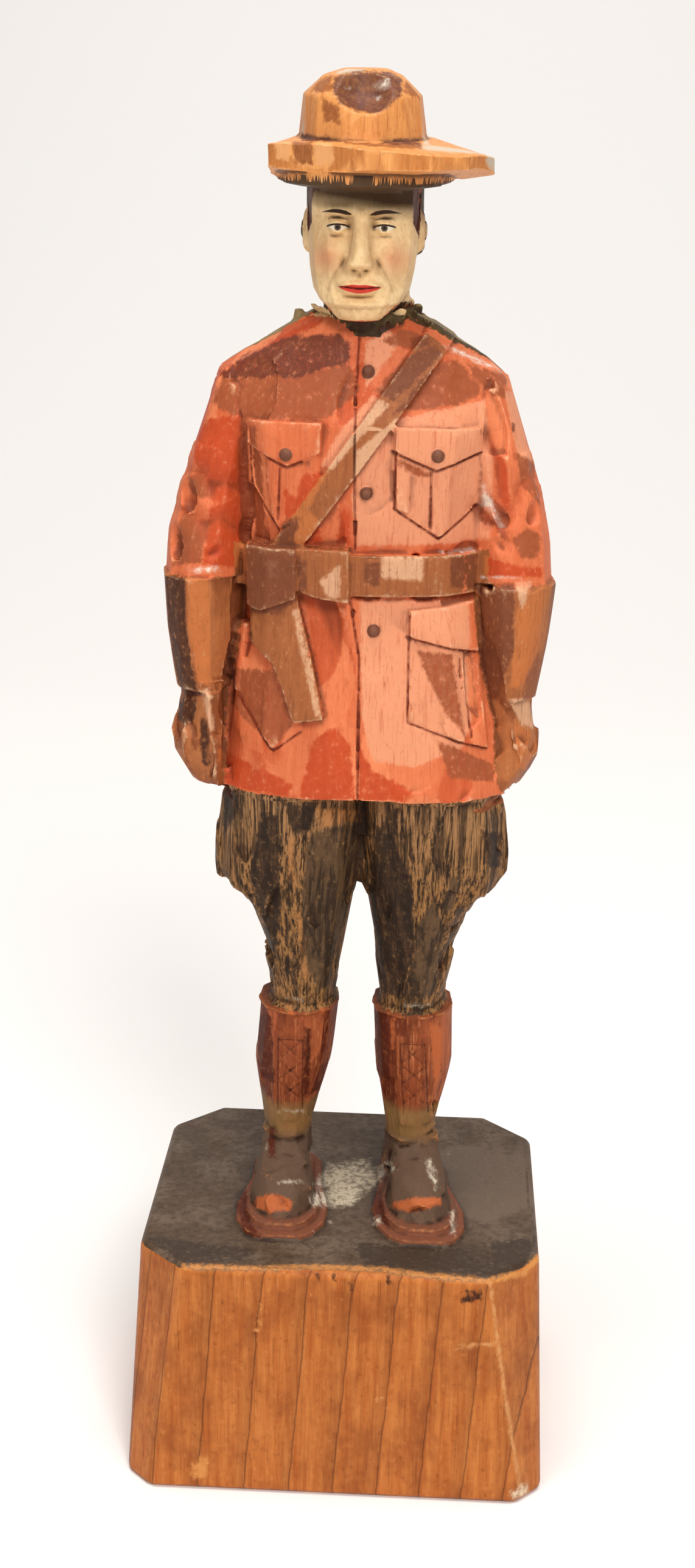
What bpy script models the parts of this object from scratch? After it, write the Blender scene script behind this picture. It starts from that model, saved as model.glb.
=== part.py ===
"""Carved wooden figure of a standing officer, whittled with its block from one billet of softwood.

The figure faces -Y and stands on the block's top. All of its forms are measured in hundredths of its
own height, the way a carver steps off proportions, and are scaled to metres at the end.
"""

import math
import random

import bmesh
import bpy
from mathutils import Matrix, Vector
from mathutils.bvhtree import BVHTree

# Driving dimensions, in metres.
FIGURE_HEIGHT = 0.1467
BLOCK_HEIGHT = 0.0333
BLOCK_WIDTH = 0.0524
BLOCK_DEPTH = 0.0468
BLOCK_FLARE = 0.0016
CORNER_CUT = 0.0066
CORNER_CUT_FOOT = 0.0034
BLOCK_EDGE = 0.0006

# Carving depths and small widths, in hundredths of the figure's height.
PART = FIGURE_HEIGHT / 100
WOBBLE = 0.1
POCKET_RELIEF = 0.35
FLAP_RELIEF = 0.7
BELT_RELIEF = 0.75
STRAP_RELIEF = 0.6
STRAP_WIDTH = 2.25
BUCKLE_RELIEF = 1.35
HOLSTER_RELIEF = 1.2
FLAP_OVER_BELT = 1.75
LINE_WIDTH = 0.3
LINE_DEPTH = 0.35
SHOULDER_TAB_RELIEF = 0.35
BUTTON_RADIUS = 0.58
BUTTON_HEIGHT = 0.45
STUD_RADIUS = 0.8
STUD_HEIGHT = 0.65
LACE_WIDTH = 0.2
LACE_DEPTH = 0.22

# Paint, as linear colour and roughness.
PAINTS = {
    "varnished_wood": ((0.36, 0.12, 0.03), 0.45),
    "hat_stain": ((0.42, 0.16, 0.045), 0.4),
    "hair_brown": ((0.05, 0.015, 0.012), 0.5),
    "face_cream": ((0.62, 0.42, 0.22), 0.45),
    "tunic_red": ((0.5, 0.09, 0.035), 0.5),
    "collar_black": ((0.025, 0.02, 0.015), 0.5),
    "leather_brown": ((0.17, 0.06, 0.025), 0.45),
    "breeches_black": ((0.06, 0.04, 0.02), 0.6),
    "boot_brown": ((0.22, 0.045, 0.018), 0.45),
    "ground_grey": ((0.06, 0.045, 0.033), 0.6),
}

# Sides of the tunic's outline, and how square it is.
COAT_SHAPE = (14, 2.6)

# Cuts through the standing forms: height, middle in x, half width, front and back in y.
TUNIC = [
    (40.6, 1.2, 12.8, -8.1, 7.6),
    (45.5, 0.9, 12.1, -7.9, 7.5),
    (52.0, 0.6, 10.9, -7.2, 7.0),
    (58.0, 0.4, 9.9, -6.5, 6.4),
    (62.0, 0.3, 9.8, -6.6, 6.5),
    (67.5, 0.2, 10.3, -7.3, 6.9),
    (72.6, 0.1, 11.2, -7.3, 7.0),
    (76.3, 0.0, 12.4, -5.6, 6.0),
    (78.6, 0.0, 8.2, -4.4, 5.2),
    (81.0, 0.1, 4.2, -3.0, 4.4),
]
SLEEVE = [
    (76.2, 9.8, 2.2, -3.7, 4.4),
    (75.0, 10.0, 2.7, -4.3, 5.0),
    (71.7, 10.7, 3.1, -4.5, 5.4),
    (66.9, 11.9, 3.5, -4.4, 6.0),
    (62.5, 12.8, 3.6, -4.9, 5.4),
    (58.2, 13.2, 3.4, -5.2, 4.6),
]
GAUNTLET = [
    (59.0, 13.35, 3.75, -5.7, 4.9),
    (54.7, 13.3, 3.5, -5.5, 4.6),
    (50.9, 13.3, 2.95, -5.1, 3.9),
    (47.4, 13.3, 2.1, -4.5, 2.9),
]
HAND = [
    (48.4, 13.3, 1.9, -4.2, 2.6),
    (45.6, 13.7, 2.6, -4.9, 3.0),
    (43.0, 13.5, 2.5, -5.0, 2.8),
    (41.0, 12.6, 1.9, -4.4, 1.8),
    (40.0, 12.0, 1.1, -3.6, 0.8),
]
THUMB = [
    (50.0, 12.6, 1.4, -5.2, -2.4),
    (44.4, 12.1, 1.05, -5.7, -2.8),
    (40.6, 11.75, 0.75, -5.6, -3.4),
]
ARM_WEB = [(67.0, 10.5, 2.4, -1.6, 3.4), (54.0, 11.2, 2.6, -2.0, 3.0), (43.0, 11.8, 1.8, -1.8, 2.2)]
LEG = [
    (42.0, -5.0, 6.1, -6.8, 6.6),
    (38.2, -5.35, 6.5, -6.7, 6.8),
    (34.0, -5.7, 6.8, -6.2, 6.8),
    (31.6, -5.6, 6.5, -5.9, 6.4),
    (29.8, -4.8, 5.2, -5.6, 5.9),
    (27.4, -4.25, 4.15, -5.2, 5.5),
    (20.2, -4.2, 3.1, -4.0, 4.3),
    (18.0, -4.35, 2.95, -3.7, 4.1),
]
BOOT_SHAFT = [
    (19.4, -4.6, 3.75, -4.3, 4.9),
    (17.6, -4.75, 3.65, -4.1, 4.8),
    (13.8, -5.15, 3.75, -3.9, 5.1),
    (10.0, -5.4, 3.0, -3.3, 4.4),
    (7.0, -5.45, 2.3, -2.9, 3.6),
    (2.4, -5.6, 2.5, -3.2, 4.2),
]
HEAD = [
    (80.9, -0.2, 1.9, -6.1, -1.2),
    (81.8, -0.2, 3.0, -6.7, 1.0),
    (83.2, -0.2, 3.6, -6.5, 2.8),
    (84.8, -0.2, 4.1, -6.5, 4.2),
    (86.6, -0.2, 4.5, -6.4, 4.9),
    (88.2, -0.2, 4.65, -5.8, 5.3),
    (89.7, -0.2, 4.65, -6.4, 5.5),
    (91.2, -0.2, 4.6, -6.2, 5.6),
    (92.8, -0.2, 4.5, -5.9, 5.6),
]
HAIR = [
    (84.2, -0.2, 3.9, 0.4, 5.2),
    (86.6, -0.2, 4.75, -0.6, 5.7),
    (88.6, -0.2, 4.95, -2.6, 6.0),
    (92.8, -0.2, 4.9, -3.2, 6.1),
]
NOSE = [
    (89.6, -0.2, 0.55, -6.6, -5.0),
    (88.0, -0.2, 0.65, -7.0, -5.0),
    (86.2, -0.2, 0.9, -7.6, -5.0),
    (85.5, -0.2, 1.15, -7.8, -5.0),
    (85.0, -0.2, 0.95, -7.1, -5.0),
]
LIPS = [
    (84.3, -0.2, 0.9, -6.7, -5.4),
    (83.9, -0.2, 1.6, -7.15, -5.4),
    (83.7, -0.2, 1.7, -6.85, -5.4),
    (83.4, -0.2, 1.35, -7.15, -5.4),
    (82.9, -0.2, 0.8, -6.7, -5.4),
]
NECK = [(77.5, 0.2, 3.5, -2.8, 4.2), (84.0, 0.0, 3.3, -3.2, 3.8)]
CROWN = [
    (92.4, -0.4, 5.25, -6.4, 6.4),
    (95.0, -0.4, 5.2, -6.3, 6.3),
    (98.0, -0.5, 4.85, -5.9, 5.9),
    (99.5, -0.4, 3.2, -4.2, 4.2),
    (100.0, -0.3, 1.8, -2.4, 2.4),
]
BRIM = [
    (91.2, -0.2, 6.0, -7.4, 7.4),
    (91.9, 0.2, 10.2, -10.2, 10.0),
    (93.2, 0.2, 10.2, -10.2, 10.0),
    (94.7, -0.3, 5.8, -6.9, 6.9),
]
# Gouged dents that pinch the crown: direction round the hat in degrees, and their reach.
DENTS = [(-87, 3.2), (-8, 2.4), (94, 3.0), (186, 2.4)]
DENT_OFFSET = 6.5
# Straight cuts that trim the brim short: direction in degrees, and distance from the hat's middle.
BRIM_TRIMS = [(180, 7.8), (-121, 8.75)]
# Forward nod of head and hat, in degrees, about a level near the ears.
NOD = 4.0
NOD_LEVEL = 88.0
# Gouged folds at the elbows: place, tilt in degrees, and reach along and across.
FOLDS = {
    "right": [
        (-15.0, -3.3, 66.3, 50, 2.6, 1.2),
        (-16.1, -3.3, 62.4, 52, 2.9, 1.3),
        (-11.5, -5.6, 61.5, -25, 1.8, 0.7),
    ],
    "left": [
        (11.4, -5.3, 65.2, 50, 2.0, 0.8),
        (11.2, -5.5, 62.8, 35, 1.9, 0.8),
        (15.4, -3.6, 65.8, -55, 2.2, 1.0),
    ],
}
# Face and ears: middle of the head in x, half the spacing, y and height of each pair.
HEAD_MIDDLE = -0.2
EYES = (1.8, -5.15, 88.25)
EYE_RADIUS = 0.85
SOCKETS = (1.85, -6.9, 88.3)
SOCKET_REACH = (1.35, 1.1, 0.85)
EARS = (4.5, 0.2, 87.4)
EAR_REACH = (0.75, 1.25, 1.9)
# Collar rings: height at the middle, half width and rise towards the back.
COLLAR = [(78.4, 4.2, 0.3), (81.3, 4.0, 0.12)]
COLLAR_REACH = (-4.2, 4.4)
# Shoulder tabs from above: inner and outer x, front and back y, and the height they start from.
SHOULDER_TAB = (3.8, 12.2, -0.9, 2.9, 70.0)
# The line between the legs, at the thighs and at the boots, and how far the boots lean apart.
MIDLINE = 0.75
BOOT_MIDLINE = 1.2
BOOT_LEAN = 0.067
# Middle of each heel, and how far the foot turns to +X, in degrees.
FOOT_RIGHT = (-5.7, 0.5)
FOOT_LEFT = (6.0, 5.5)
# Half widths of a foot from heel to toe, as the share of its length and the width there.
FOOT_WIDTHS = [(0.0, 1.5), (0.1, 2.3), (0.32, 2.35), (0.62, 3.3), (0.82, 3.1), (0.95, 2.1), (1.0, 0.95)]
# Levels of a foot: height, growth of its outline, toe and heel in y.
FOOT_LEVELS = [
    (0.4, -0.25, -8.9, 4.6),
    (2.3, -0.3, -8.7, 4.5),
    (3.9, -0.65, -7.4, 4.3),
    (5.6, -1.0, -4.6, 4.1),
    (7.2, -1.1, -3.0, 3.6),
]
# Sole and the ledge left under it: top, growth, toe and heel in y, all sunk a little into the block.
SOLE_LEVELS = [(1.0, 0.15, -9.4, 4.8), (0.45, 0.9, -9.75, 4.8)]
SOLE_SINK = 0.6
# Laced panel of a boot: half width, top and foot, and how many times the laces cross.
LACING = (1.15, 16.6, 9.2, 3)

# Outlines seen from the front, as x and height.
BELT = (58.3, 61.8, -10.6, 11.2)
BUCKLE = [(-4.85, 62.2), (-0.55, 62.2), (-0.5, 57.8), (-3.6, 58.2), (-4.85, 58.7)]
FLAP = [(-9.3, 62.1), (-4.95, 62.2), (-4.95, 58.0), (-8.2, 56.7), (-9.2, 57.0)]
HOLSTER = [
    (-8.9, 58.0),
    (-5.0, 58.6),
    (-3.5, 52.9),
    (-2.4, 48.0),
    (-5.0, 47.5),
    (-6.0, 50.3),
    (-6.9, 52.4),
    (-8.9, 53.9),
]
STRAP_ENDS = ((-6.7, 61.0), (8.2, 82.0))
CHEST_POCKETS = {
    "right": [(-9.1, 72.3), (-3.2, 72.4), (-3.2, 65.6), (-6.5, 63.7), (-9.0, 66.9)],
    "left": [(3.1, 72.2), (9.8, 72.0), (9.8, 65.6), (6.8, 63.2), (3.2, 65.7)],
}
CHEST_FLAPS = {
    "right": [(-9.2, 72.5), (-3.0, 72.6), (-3.05, 70.2), (-5.8, 68.9), (-9.25, 70.4)],
    "left": [(2.9, 72.4), (10.0, 72.2), (10.05, 70.2), (6.4, 68.9), (2.85, 70.5)],
}
SKIRT_POCKETS = {
    "right": [(-10.4, 55.0), (-4.4, 55.0), (-4.4, 46.7), (-6.8, 44.8), (-10.4, 49.2)],
    "left": [(4.7, 56.9), (9.8, 57.4), (11.6, 45.0), (4.8, 47.8)],
}
SKIRT_FLAP = [(4.5, 57.15), (9.95, 57.65), (10.5, 53.3), (4.45, 55.0)]
THIGH_PANELS = [
    [(-14, 40.6), (0.6, 40.6), (0.6, 36.0), (-4.9, 34.6), (-7.2, 31.0), (-7.2, 24.0), (-14, 22)],
    [(15, 40.6), (1.0, 40.6), (1.0, 36.0), (3.2, 34.0), (4.6, 31.0), (5.6, 26.0), (5.8, 21), (15, 21)],
]
LINES = [
    [(-0.2, 79.4), (-0.35, 75.0), (-0.1, 62.2)],
    [(-0.4, 58.0), (0.45, 53.0), (0.6, 41.0)],
    [(-6.4, 70.0), (-6.6, 64.4)],
    [(6.0, 69.6), (6.1, 64.0)],
    [(9.3, 53.6), (10.2, 46.2)],
]
BUTTONS = [(0.6, 76.6), (0.75, 66.9), (1.6, 55.4), (-5.9, 69.9), (6.5, 70.1)]
SHOULDER_STUDS = [(-5.5, 0.6), (4.4, 0.6)]


def paint(name):
    """The material of one paint, made once."""
    if name in bpy.data.materials:
        return bpy.data.materials[name]
    colour, roughness = PAINTS[name]
    material = bpy.data.materials.new(name)
    material.use_nodes = True
    shader = material.node_tree.nodes["Principled BSDF"]
    shader.inputs["Base Color"].default_value = (*colour, 1.0)
    shader.inputs["Roughness"].default_value = roughness
    material.diffuse_color = (*colour, 1.0)
    return material


def finish(name, bm, paint_name):
    """Turns a closed bmesh into an object painted one colour, all its facets true planes."""
    bmesh.ops.recalc_face_normals(bm, faces=bm.faces)
    bmesh.ops.triangulate(bm, faces=bm.faces)
    mesh = bpy.data.meshes.new(name)
    bm.to_mesh(mesh)
    bm.free()
    mesh.materials.append(paint(paint_name))
    piece = bpy.data.objects.new(name, mesh)
    bpy.context.collection.objects.link(piece)
    return piece


def stack(rings):
    """A closed solid through rings of points: one face is drawn and extruded from ring to ring."""
    bm = bmesh.new()
    foot = [bm.verts.new(point) for point in rings[0]]
    cap = bm.faces.new(foot)
    for ring in rings[1:]:
        cap = bmesh.ops.extrude_discrete_faces(bm, faces=[cap])["faces"][0]
        for vert, point in zip(cap.verts, ring):
            vert.co = point
    bm.faces.new(reversed(foot))
    return bm


def section(cut, sides, power, grow=0.0, chance=None):
    """One level outline between an ellipse and a rectangle, with a flat facet at the front."""
    height, middle, half_width, front, back = cut
    ring = []
    for step in range(sides):
        angle = math.tau * (step + 0.5) / sides - math.pi / 2
        across, along = math.cos(angle), math.sin(angle)
        reach = (abs(across) ** power + abs(along) ** power) ** (-1 / power)
        depth = (back - front) / 2 + grow
        slip = [chance.uniform(-WOBBLE, WOBBLE) for _ in range(2)] if chance else (0, 0)
        ring.append(
            Vector(
                (
                    middle + (half_width + grow) * reach * across + slip[0],
                    (front + back) / 2 + depth * reach * along + slip[1],
                    height,
                )
            )
        )
    return ring


def mirrored(cuts, midline=0.0, lean=0.0):
    """The same cuts for the other side of the body."""
    top = cuts[0][0]
    return [(z, midline - x - lean * (top - z), w, f, b) for z, x, w, f, b in cuts]


def form(name, cuts, paint_name, sides=12, power=2.4, grow=0.0, wobble=True):
    """A limb or garment through its level cuts, a little uneven as knife work is."""
    chance = random.Random(name) if wobble else None
    rings = [section(cut, sides, power, grow, chance) for cut in cuts]
    return finish(name, stack(rings), paint_name)


def prism(name, outline, paint_name, near=-20.0, far=0.0):
    """An outline seen from the front, pushed through from near to far."""
    rings = [[Vector((x, y, z)) for x, z in outline] for y in (near, far)]
    return finish(name, stack(rings), paint_name)


def combine(target, tool, operation):
    """Applies one Boolean to target and uses the tool up.

    MANIFOLD, because EXACT loses the coat where a pocket flap lies almost flush with its pocket.
    """
    modifier = target.modifiers.new("Cut", "BOOLEAN")
    modifier.operation = operation
    modifier.object = tool
    modifier.solver = "MANIFOLD"
    graph = bpy.context.evaluated_depsgraph_get()
    made = bpy.data.meshes.new_from_object(target.evaluated_get(graph))
    target.modifiers.clear()
    target.data = made
    bpy.data.objects.remove(tool)


def slice_flat(piece, direction, distance):
    """Slices a convex piece off flat, at a distance from the upright axis."""
    bm = bmesh.new()
    bm.from_mesh(piece.data)
    everything = bm.verts[:] + bm.edges[:] + bm.faces[:]
    made = bmesh.ops.bisect_plane(
        bm,
        geom=everything,
        plane_co=direction * distance,
        plane_no=direction,
        clear_outer=True,
    )
    rim = [item for item in made["geom_cut"] if isinstance(item, bmesh.types.BMEdge)]
    bmesh.ops.contextual_create(bm, geom=rim)
    bm.to_mesh(piece.data)
    bm.free()


def aim(turn, rise):
    """A direction from its angle round the figure and its rise, in degrees."""
    a, e = math.radians(turn), math.radians(rise)
    return Vector((math.cos(a) * math.cos(e), math.sin(a) * math.cos(e), math.sin(e)))


def face_of(piece, x, z):
    """The y of the front of a piece at one place seen from the front."""
    tree = BVHTree.FromObject(piece, bpy.context.evaluated_depsgraph_get())
    hit = tree.ray_cast(Vector((x, -50.0, z)), Vector((0, 1, 0)))[0]
    return hit.y


def raised(outline, cuts, relief, paint_name, sides, power, far=0.0):
    """Carving that stands proud of a form: the form grown by the relief, inside an outline."""
    name = f"relief_{len(bpy.data.meshes)}"
    shell = form(name, cuts, paint_name, sides, power, grow=relief, wobble=False)
    combine(shell, prism(name + "_outline", outline, paint_name, far=far), "INTERSECT")
    return shell


def knife_line(body, points, width=LINE_WIDTH, depth=LINE_DEPTH, paint_name="tunic_red"):
    """Cuts a V line along points seen from the front, following the surface below it."""
    for (x0, z0), (x1, z1) in zip(points, points[1:]):
        along = Vector((x1 - x0, 0, z1 - z0))
        side = Vector((-along.z, 0, along.x)).normalized() * width / 2
        rings = []
        for x, z, stretch in ((x0, z0, 0.02), (x1, z1, 0.98)):
            y = face_of(body, x0 + (x1 - x0) * stretch, z0 + (z1 - z0) * stretch)
            middle = Vector((x, y, z))
            mouth = Vector((0, -depth, 0))
            rings.append([middle + side * 2 + mouth, middle - side * 2 + mouth, middle - mouth])
        combine(body, finish("knife", stack(rings), paint_name), "DIFFERENCE")


def ball(name, middle, reach, turn, paint_name):
    """A stretched ball, for knobs and for gouging."""
    bm = bmesh.new()
    bmesh.ops.create_icosphere(bm, subdivisions=2, radius=1.0)
    shape = Matrix.LocRotScale(Vector(middle), turn, Vector(reach))
    bmesh.ops.transform(bm, matrix=shape, verts=bm.verts)
    return finish(name, bm, paint_name)


def scoop(piece, middle, reach, turn, paint_name):
    """Gouges a hollow out of a piece."""
    combine(piece, ball("gouge", middle, reach, turn, paint_name), "DIFFERENCE")


def hat():
    """Wide-brimmed felt hat with a pinched crown, its brim trimmed short on one side."""
    crown = form("crown", CROWN, "hat_stain", sides=13, power=2.2)
    for turn, reach in DENTS:
        middle = aim(turn, 0) * DENT_OFFSET + Vector((-0.4, 0, 99.8))
        scoop(crown, middle, (reach, reach * 1.1, reach), None, "hat_stain")
    brim = form("brim", BRIM, "hat_stain", sides=18, power=2.1)
    for turn, distance in BRIM_TRIMS:
        slice_flat(brim, aim(turn, 0), distance)
    combine(crown, brim, "UNION")
    return crown


def beside(place, side):
    """A place to one side of the head's middle."""
    x, y, z = place
    return Vector((HEAD_MIDDLE + side * x, y, z))


def head():
    """Head with a calm, plain face, ears and short hair."""
    skull = form("head", HEAD, "face_cream", sides=16, power=2.3, wobble=False)
    for side in (-1, 1):
        scoop(skull, beside(SOCKETS, side), SOCKET_REACH, None, "face_cream")
    combine(skull, form("nose", NOSE, "face_cream", 8, 2.0, wobble=False), "UNION")
    combine(skull, form("lips", LIPS, "face_cream", 10, 2.2, wobble=False), "UNION")
    combine(skull, form("hair", HAIR, "hair_brown", 14, 2.3), "UNION")
    for side in (-1, 1):
        combine(skull, ball("ear", beside(EARS, side), EAR_REACH, None, "face_cream"), "UNION")
        combine(skull, ball("eye", beside(EYES, side), [EYE_RADIUS] * 3, None, "face_cream"), "UNION")
    combine(skull, form("neck", NECK, "collar_black", 12, 2.0), "UNION")
    return skull


def collar():
    """Standing collar, a little higher behind than in front."""
    rings = []
    for height, half, rise in COLLAR:
        ring = section((height, 0.4, half, *COLLAR_REACH), 12, 2.1)
        rings.append([point + Vector((0, 0, rise * point.y)) for point in ring])
    return finish("collar", stack(rings), "collar_black")


def shoulder_tab(side):
    """Tab along the top of a shoulder."""
    inner, outer, front, back, level = SHOULDER_TAB
    spread = [(inner * side, level), (outer * side, level), (outer * side, 90.0), (inner * side, 90.0)]
    tab = raised(spread, TUNIC, SHOULDER_TAB_RELIEF, "collar_black", *COAT_SHAPE, far=20.0)
    slab = [(-20.0, level), (20.0, level), (20.0, 90.0), (-20.0, 90.0)]
    combine(tab, prism("slab", slab, "collar_black", near=front, far=back), "INTERSECT")
    return tab


def arm(side):
    """Sleeve, flared gauntlet, closed hand and thumb of one side."""
    flip = (lambda cuts: cuts) if side > 0 else mirrored
    tag = "left" if side > 0 else "right"
    sleeve = form("sleeve_" + tag, flip(SLEEVE), "tunic_red", 11, 2.2)
    for x, y, z, tilt, length, width in FOLDS[tag]:
        turn = Matrix.Rotation(math.radians(tilt), 3, "Y").to_quaternion()
        scoop(sleeve, (x, y, z), (length, 1.3, width), turn, "tunic_red")
    cuff = form("gauntlet_" + tag, flip(GAUNTLET), "leather_brown", 9, 2.4)
    combine(cuff, form("hand_" + tag, flip(HAND), "leather_brown", 8, 2.3), "UNION")
    if side < 0:
        combine(cuff, form("thumb", flip(THUMB), "leather_brown", 7, 2.2), "UNION")
    combine(sleeve, form("web_" + tag, flip(ARM_WEB), "tunic_red", 8, 2.6), "UNION")
    combine(sleeve, cuff, "UNION")
    return sleeve


def level_band(low, high, left, right):
    """A level strip seen from the front."""
    return [(left, low), (right, low), (right, high), (left, high)]


def slanted_band(start, end, width):
    """A strip of even width between two points seen from the front."""
    (x0, z0), (x1, z1) = start, end
    along = Vector((x1 - x0, z1 - z0)).normalized()
    side = Vector((-along.y, along.x)) * width / 2
    return [
        (x0 + side.x, z0 + side.y),
        (x1 + side.x, z1 + side.y),
        (x1 - side.x, z1 - side.y),
        (x0 - side.x, z0 - side.y),
    ]


def tunic():
    """Belted tunic with its collar, pockets, buttons, cross strap and holster."""
    coat = form("tunic", TUNIC, "tunic_red", *COAT_SHAPE)
    for side in (-1, 1):
        combine(coat, arm(side), "UNION")
        combine(coat, shoulder_tab(side), "UNION")
    combine(coat, collar(), "UNION")
    for outline in [*CHEST_POCKETS.values(), *SKIRT_POCKETS.values()]:
        combine(coat, raised(outline, TUNIC, POCKET_RELIEF, "tunic_red", *COAT_SHAPE), "UNION")
    for outline in [*CHEST_FLAPS.values(), SKIRT_FLAP]:
        combine(coat, raised(outline, TUNIC, FLAP_RELIEF, "tunic_red", *COAT_SHAPE), "UNION")
    for points in LINES:
        knife_line(coat, points)
    strap = slanted_band(*STRAP_ENDS, STRAP_WIDTH)
    for band, relief in ((strap, STRAP_RELIEF), (level_band(*BELT), BELT_RELIEF)):
        wrap = raised(band, TUNIC, relief, "leather_brown", *COAT_SHAPE, far=20.0)
        combine(coat, wrap, "UNION")
    for outline, relief in ((HOLSTER, HOLSTER_RELIEF), (FLAP, FLAP_OVER_BELT), (BUCKLE, BUCKLE_RELIEF)):
        combine(coat, raised(outline, TUNIC, relief, "leather_brown", *COAT_SHAPE), "UNION")
    for x, z in BUTTONS:
        add_button(coat, x, z)
    for x, y in SHOULDER_STUDS:
        add_stud(coat, x, y)
    return coat


def add_button(body, x, z):
    """A small round knob on the front."""
    bm = bmesh.new()
    bmesh.ops.create_cone(
        bm,
        cap_ends=True,
        segments=10,
        radius1=BUTTON_RADIUS,
        radius2=BUTTON_RADIUS * 0.6,
        depth=BUTTON_HEIGHT * 2,
    )
    y = face_of(body, x, z)
    turn = Matrix.Rotation(math.radians(90), 4, "X")
    bmesh.ops.transform(bm, matrix=Matrix.Translation((x, y, z)) @ turn, verts=bm.verts)
    combine(body, finish("button", bm, "leather_brown"), "UNION")


def add_stud(body, x, y):
    """A small peaked knob on top of a shoulder."""
    tree = BVHTree.FromObject(body, bpy.context.evaluated_depsgraph_get())
    top = tree.ray_cast(Vector((x, y, 90.0)), Vector((0, 0, -1)))[0].z
    bm = bmesh.new()
    bmesh.ops.create_cone(
        bm,
        cap_ends=True,
        segments=6,
        radius1=STUD_RADIUS,
        radius2=STUD_RADIUS / 2,
        depth=STUD_HEIGHT * 3,
    )
    bmesh.ops.translate(bm, vec=(x, y, top - STUD_HEIGHT / 2), verts=bm.verts)
    combine(body, finish("stud", bm, "collar_black"), "UNION")


def breeches():
    """Flared riding breeches, the inside of each leg cut back from the front."""
    legs = None
    for side, cuts in ((-1, LEG), (1, mirrored(LEG, 2 * MIDLINE))):
        leg = form("leg", cuts, "breeches_black", 12, 2.3)
        panel = THIGH_PANELS[side > 0]
        combine(leg, raised(panel, cuts, 0.3, "breeches_black", 12, 2.3), "UNION")
        if legs:
            combine(legs, leg, "UNION")
        else:
            legs = leg
    knife_line(legs, [(MIDLINE, 40.0), (MIDLINE + 0.1, 36.0)], paint_name="breeches_black")
    return legs


def foot_outline(middle, turn, grow, toe, heel):
    """The outline of a foot from above, out along one side and back along the other."""
    half = [(share, width + grow) for share, width in FOOT_WIDTHS]
    lean = math.tan(math.radians(turn))
    outline = []
    for share, across in [(s, -w) for s, w in half] + [(s, w) for s, w in reversed(half)]:
        y = heel + grow + (toe - heel - 2 * grow) * share
        outline.append((middle + across + lean * (heel - y), y))
    return outline


def boot(side):
    """Laced high boot: shaft, foot and welted sole on a shallow ledge left in the block."""
    cuts = BOOT_SHAFT if side < 0 else mirrored(BOOT_SHAFT, BOOT_MIDLINE, BOOT_LEAN)
    shaft = form("boot", cuts, "boot_brown", 11, 2.2)
    place = FOOT_LEFT if side > 0 else FOOT_RIGHT
    rings = []
    for height, *shape in FOOT_LEVELS:
        rings.append([Vector((x, y, height)) for x, y in foot_outline(*place, *shape)])
    combine(shaft, finish("foot", stack(rings), "boot_brown"), "UNION")
    for top, *shape in SOLE_LEVELS:
        outline = foot_outline(*place, *shape)
        rings = [[Vector((x, y, z)) for x, y in outline] for z in (-SOLE_SINK, top)]
        combine(shaft, finish("sole", stack(rings), "boot_brown"), "UNION")
    lace(shaft, cuts[2][1])
    return shaft


def lace(shaft, middle):
    """Tongue edges and crossed laces cut into the front of the shaft."""
    half, top, low, crossings = LACING
    fine = {"width": LACE_WIDTH, "depth": LACE_DEPTH, "paint_name": "boot_brown"}
    for side in (-1, 1):
        knife_line(shaft, [(middle + side * half, top), (middle + side * half, low)], **fine)
    knife_line(shaft, [(middle - half, top), (middle + half, top)], **fine)
    step = (top - low) / (crossings + 0.5)
    for number in range(crossings):
        high = top - LACE_WIDTH - number * step
        for side in (-1, 1):
            reach = side * half * 0.8
            ends = [(middle - reach, high), (middle + reach, high - step * 0.8)]
            knife_line(shaft, ends, **fine)


def block():
    """The block under the figure, in metres: an upright billet with its corners sliced off."""
    rings = []
    for height, flare, cut in ((0.0, BLOCK_FLARE, CORNER_CUT_FOOT), (BLOCK_HEIGHT, 0.0, CORNER_CUT)):
        x, y = BLOCK_WIDTH / 2 + flare, BLOCK_DEPTH / 2
        ring = []
        for sx, sy in ((1, -1), (1, 1), (-1, 1), (-1, -1)):
            near = [(sx * x, sy * (y - cut)), (sx * (x - cut), sy * y)]
            ring += near if sx == sy else reversed(near)
        rings.append([Vector((px, py, height)) for px, py in ring])
    bm = stack(rings)
    bmesh.ops.bevel(
        bm, geom=bm.edges, offset=BLOCK_EDGE, segments=1, profile=0.5, affect="EDGES", material=-1
    )
    return finish("block", bm, "varnished_wood")


def main():
    for old in list(bpy.data.objects):
        bpy.data.objects.remove(old)
    figure = tunic()
    nod = Matrix.Rotation(math.radians(NOD), 4, "X")
    pivot = Matrix.Translation((0, 0, NOD_LEVEL))
    for make in (head, hat):
        piece = make()
        piece.data.transform(pivot @ nod @ pivot.inverted())
        combine(figure, piece, "UNION")
    for piece in (breeches(), boot(-1), boot(1)):
        combine(figure, piece, "UNION")
    figure.data.transform(Matrix.Translation((0, 0, BLOCK_HEIGHT)) @ Matrix.Scale(PART, 4))
    carving = block()
    combine(carving, figure, "UNION")
    carving.name = "carved_figure"


main()
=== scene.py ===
import math

import bmesh
import bpy
import numpy as np
from mathutils import Euler, Matrix, Vector


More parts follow.
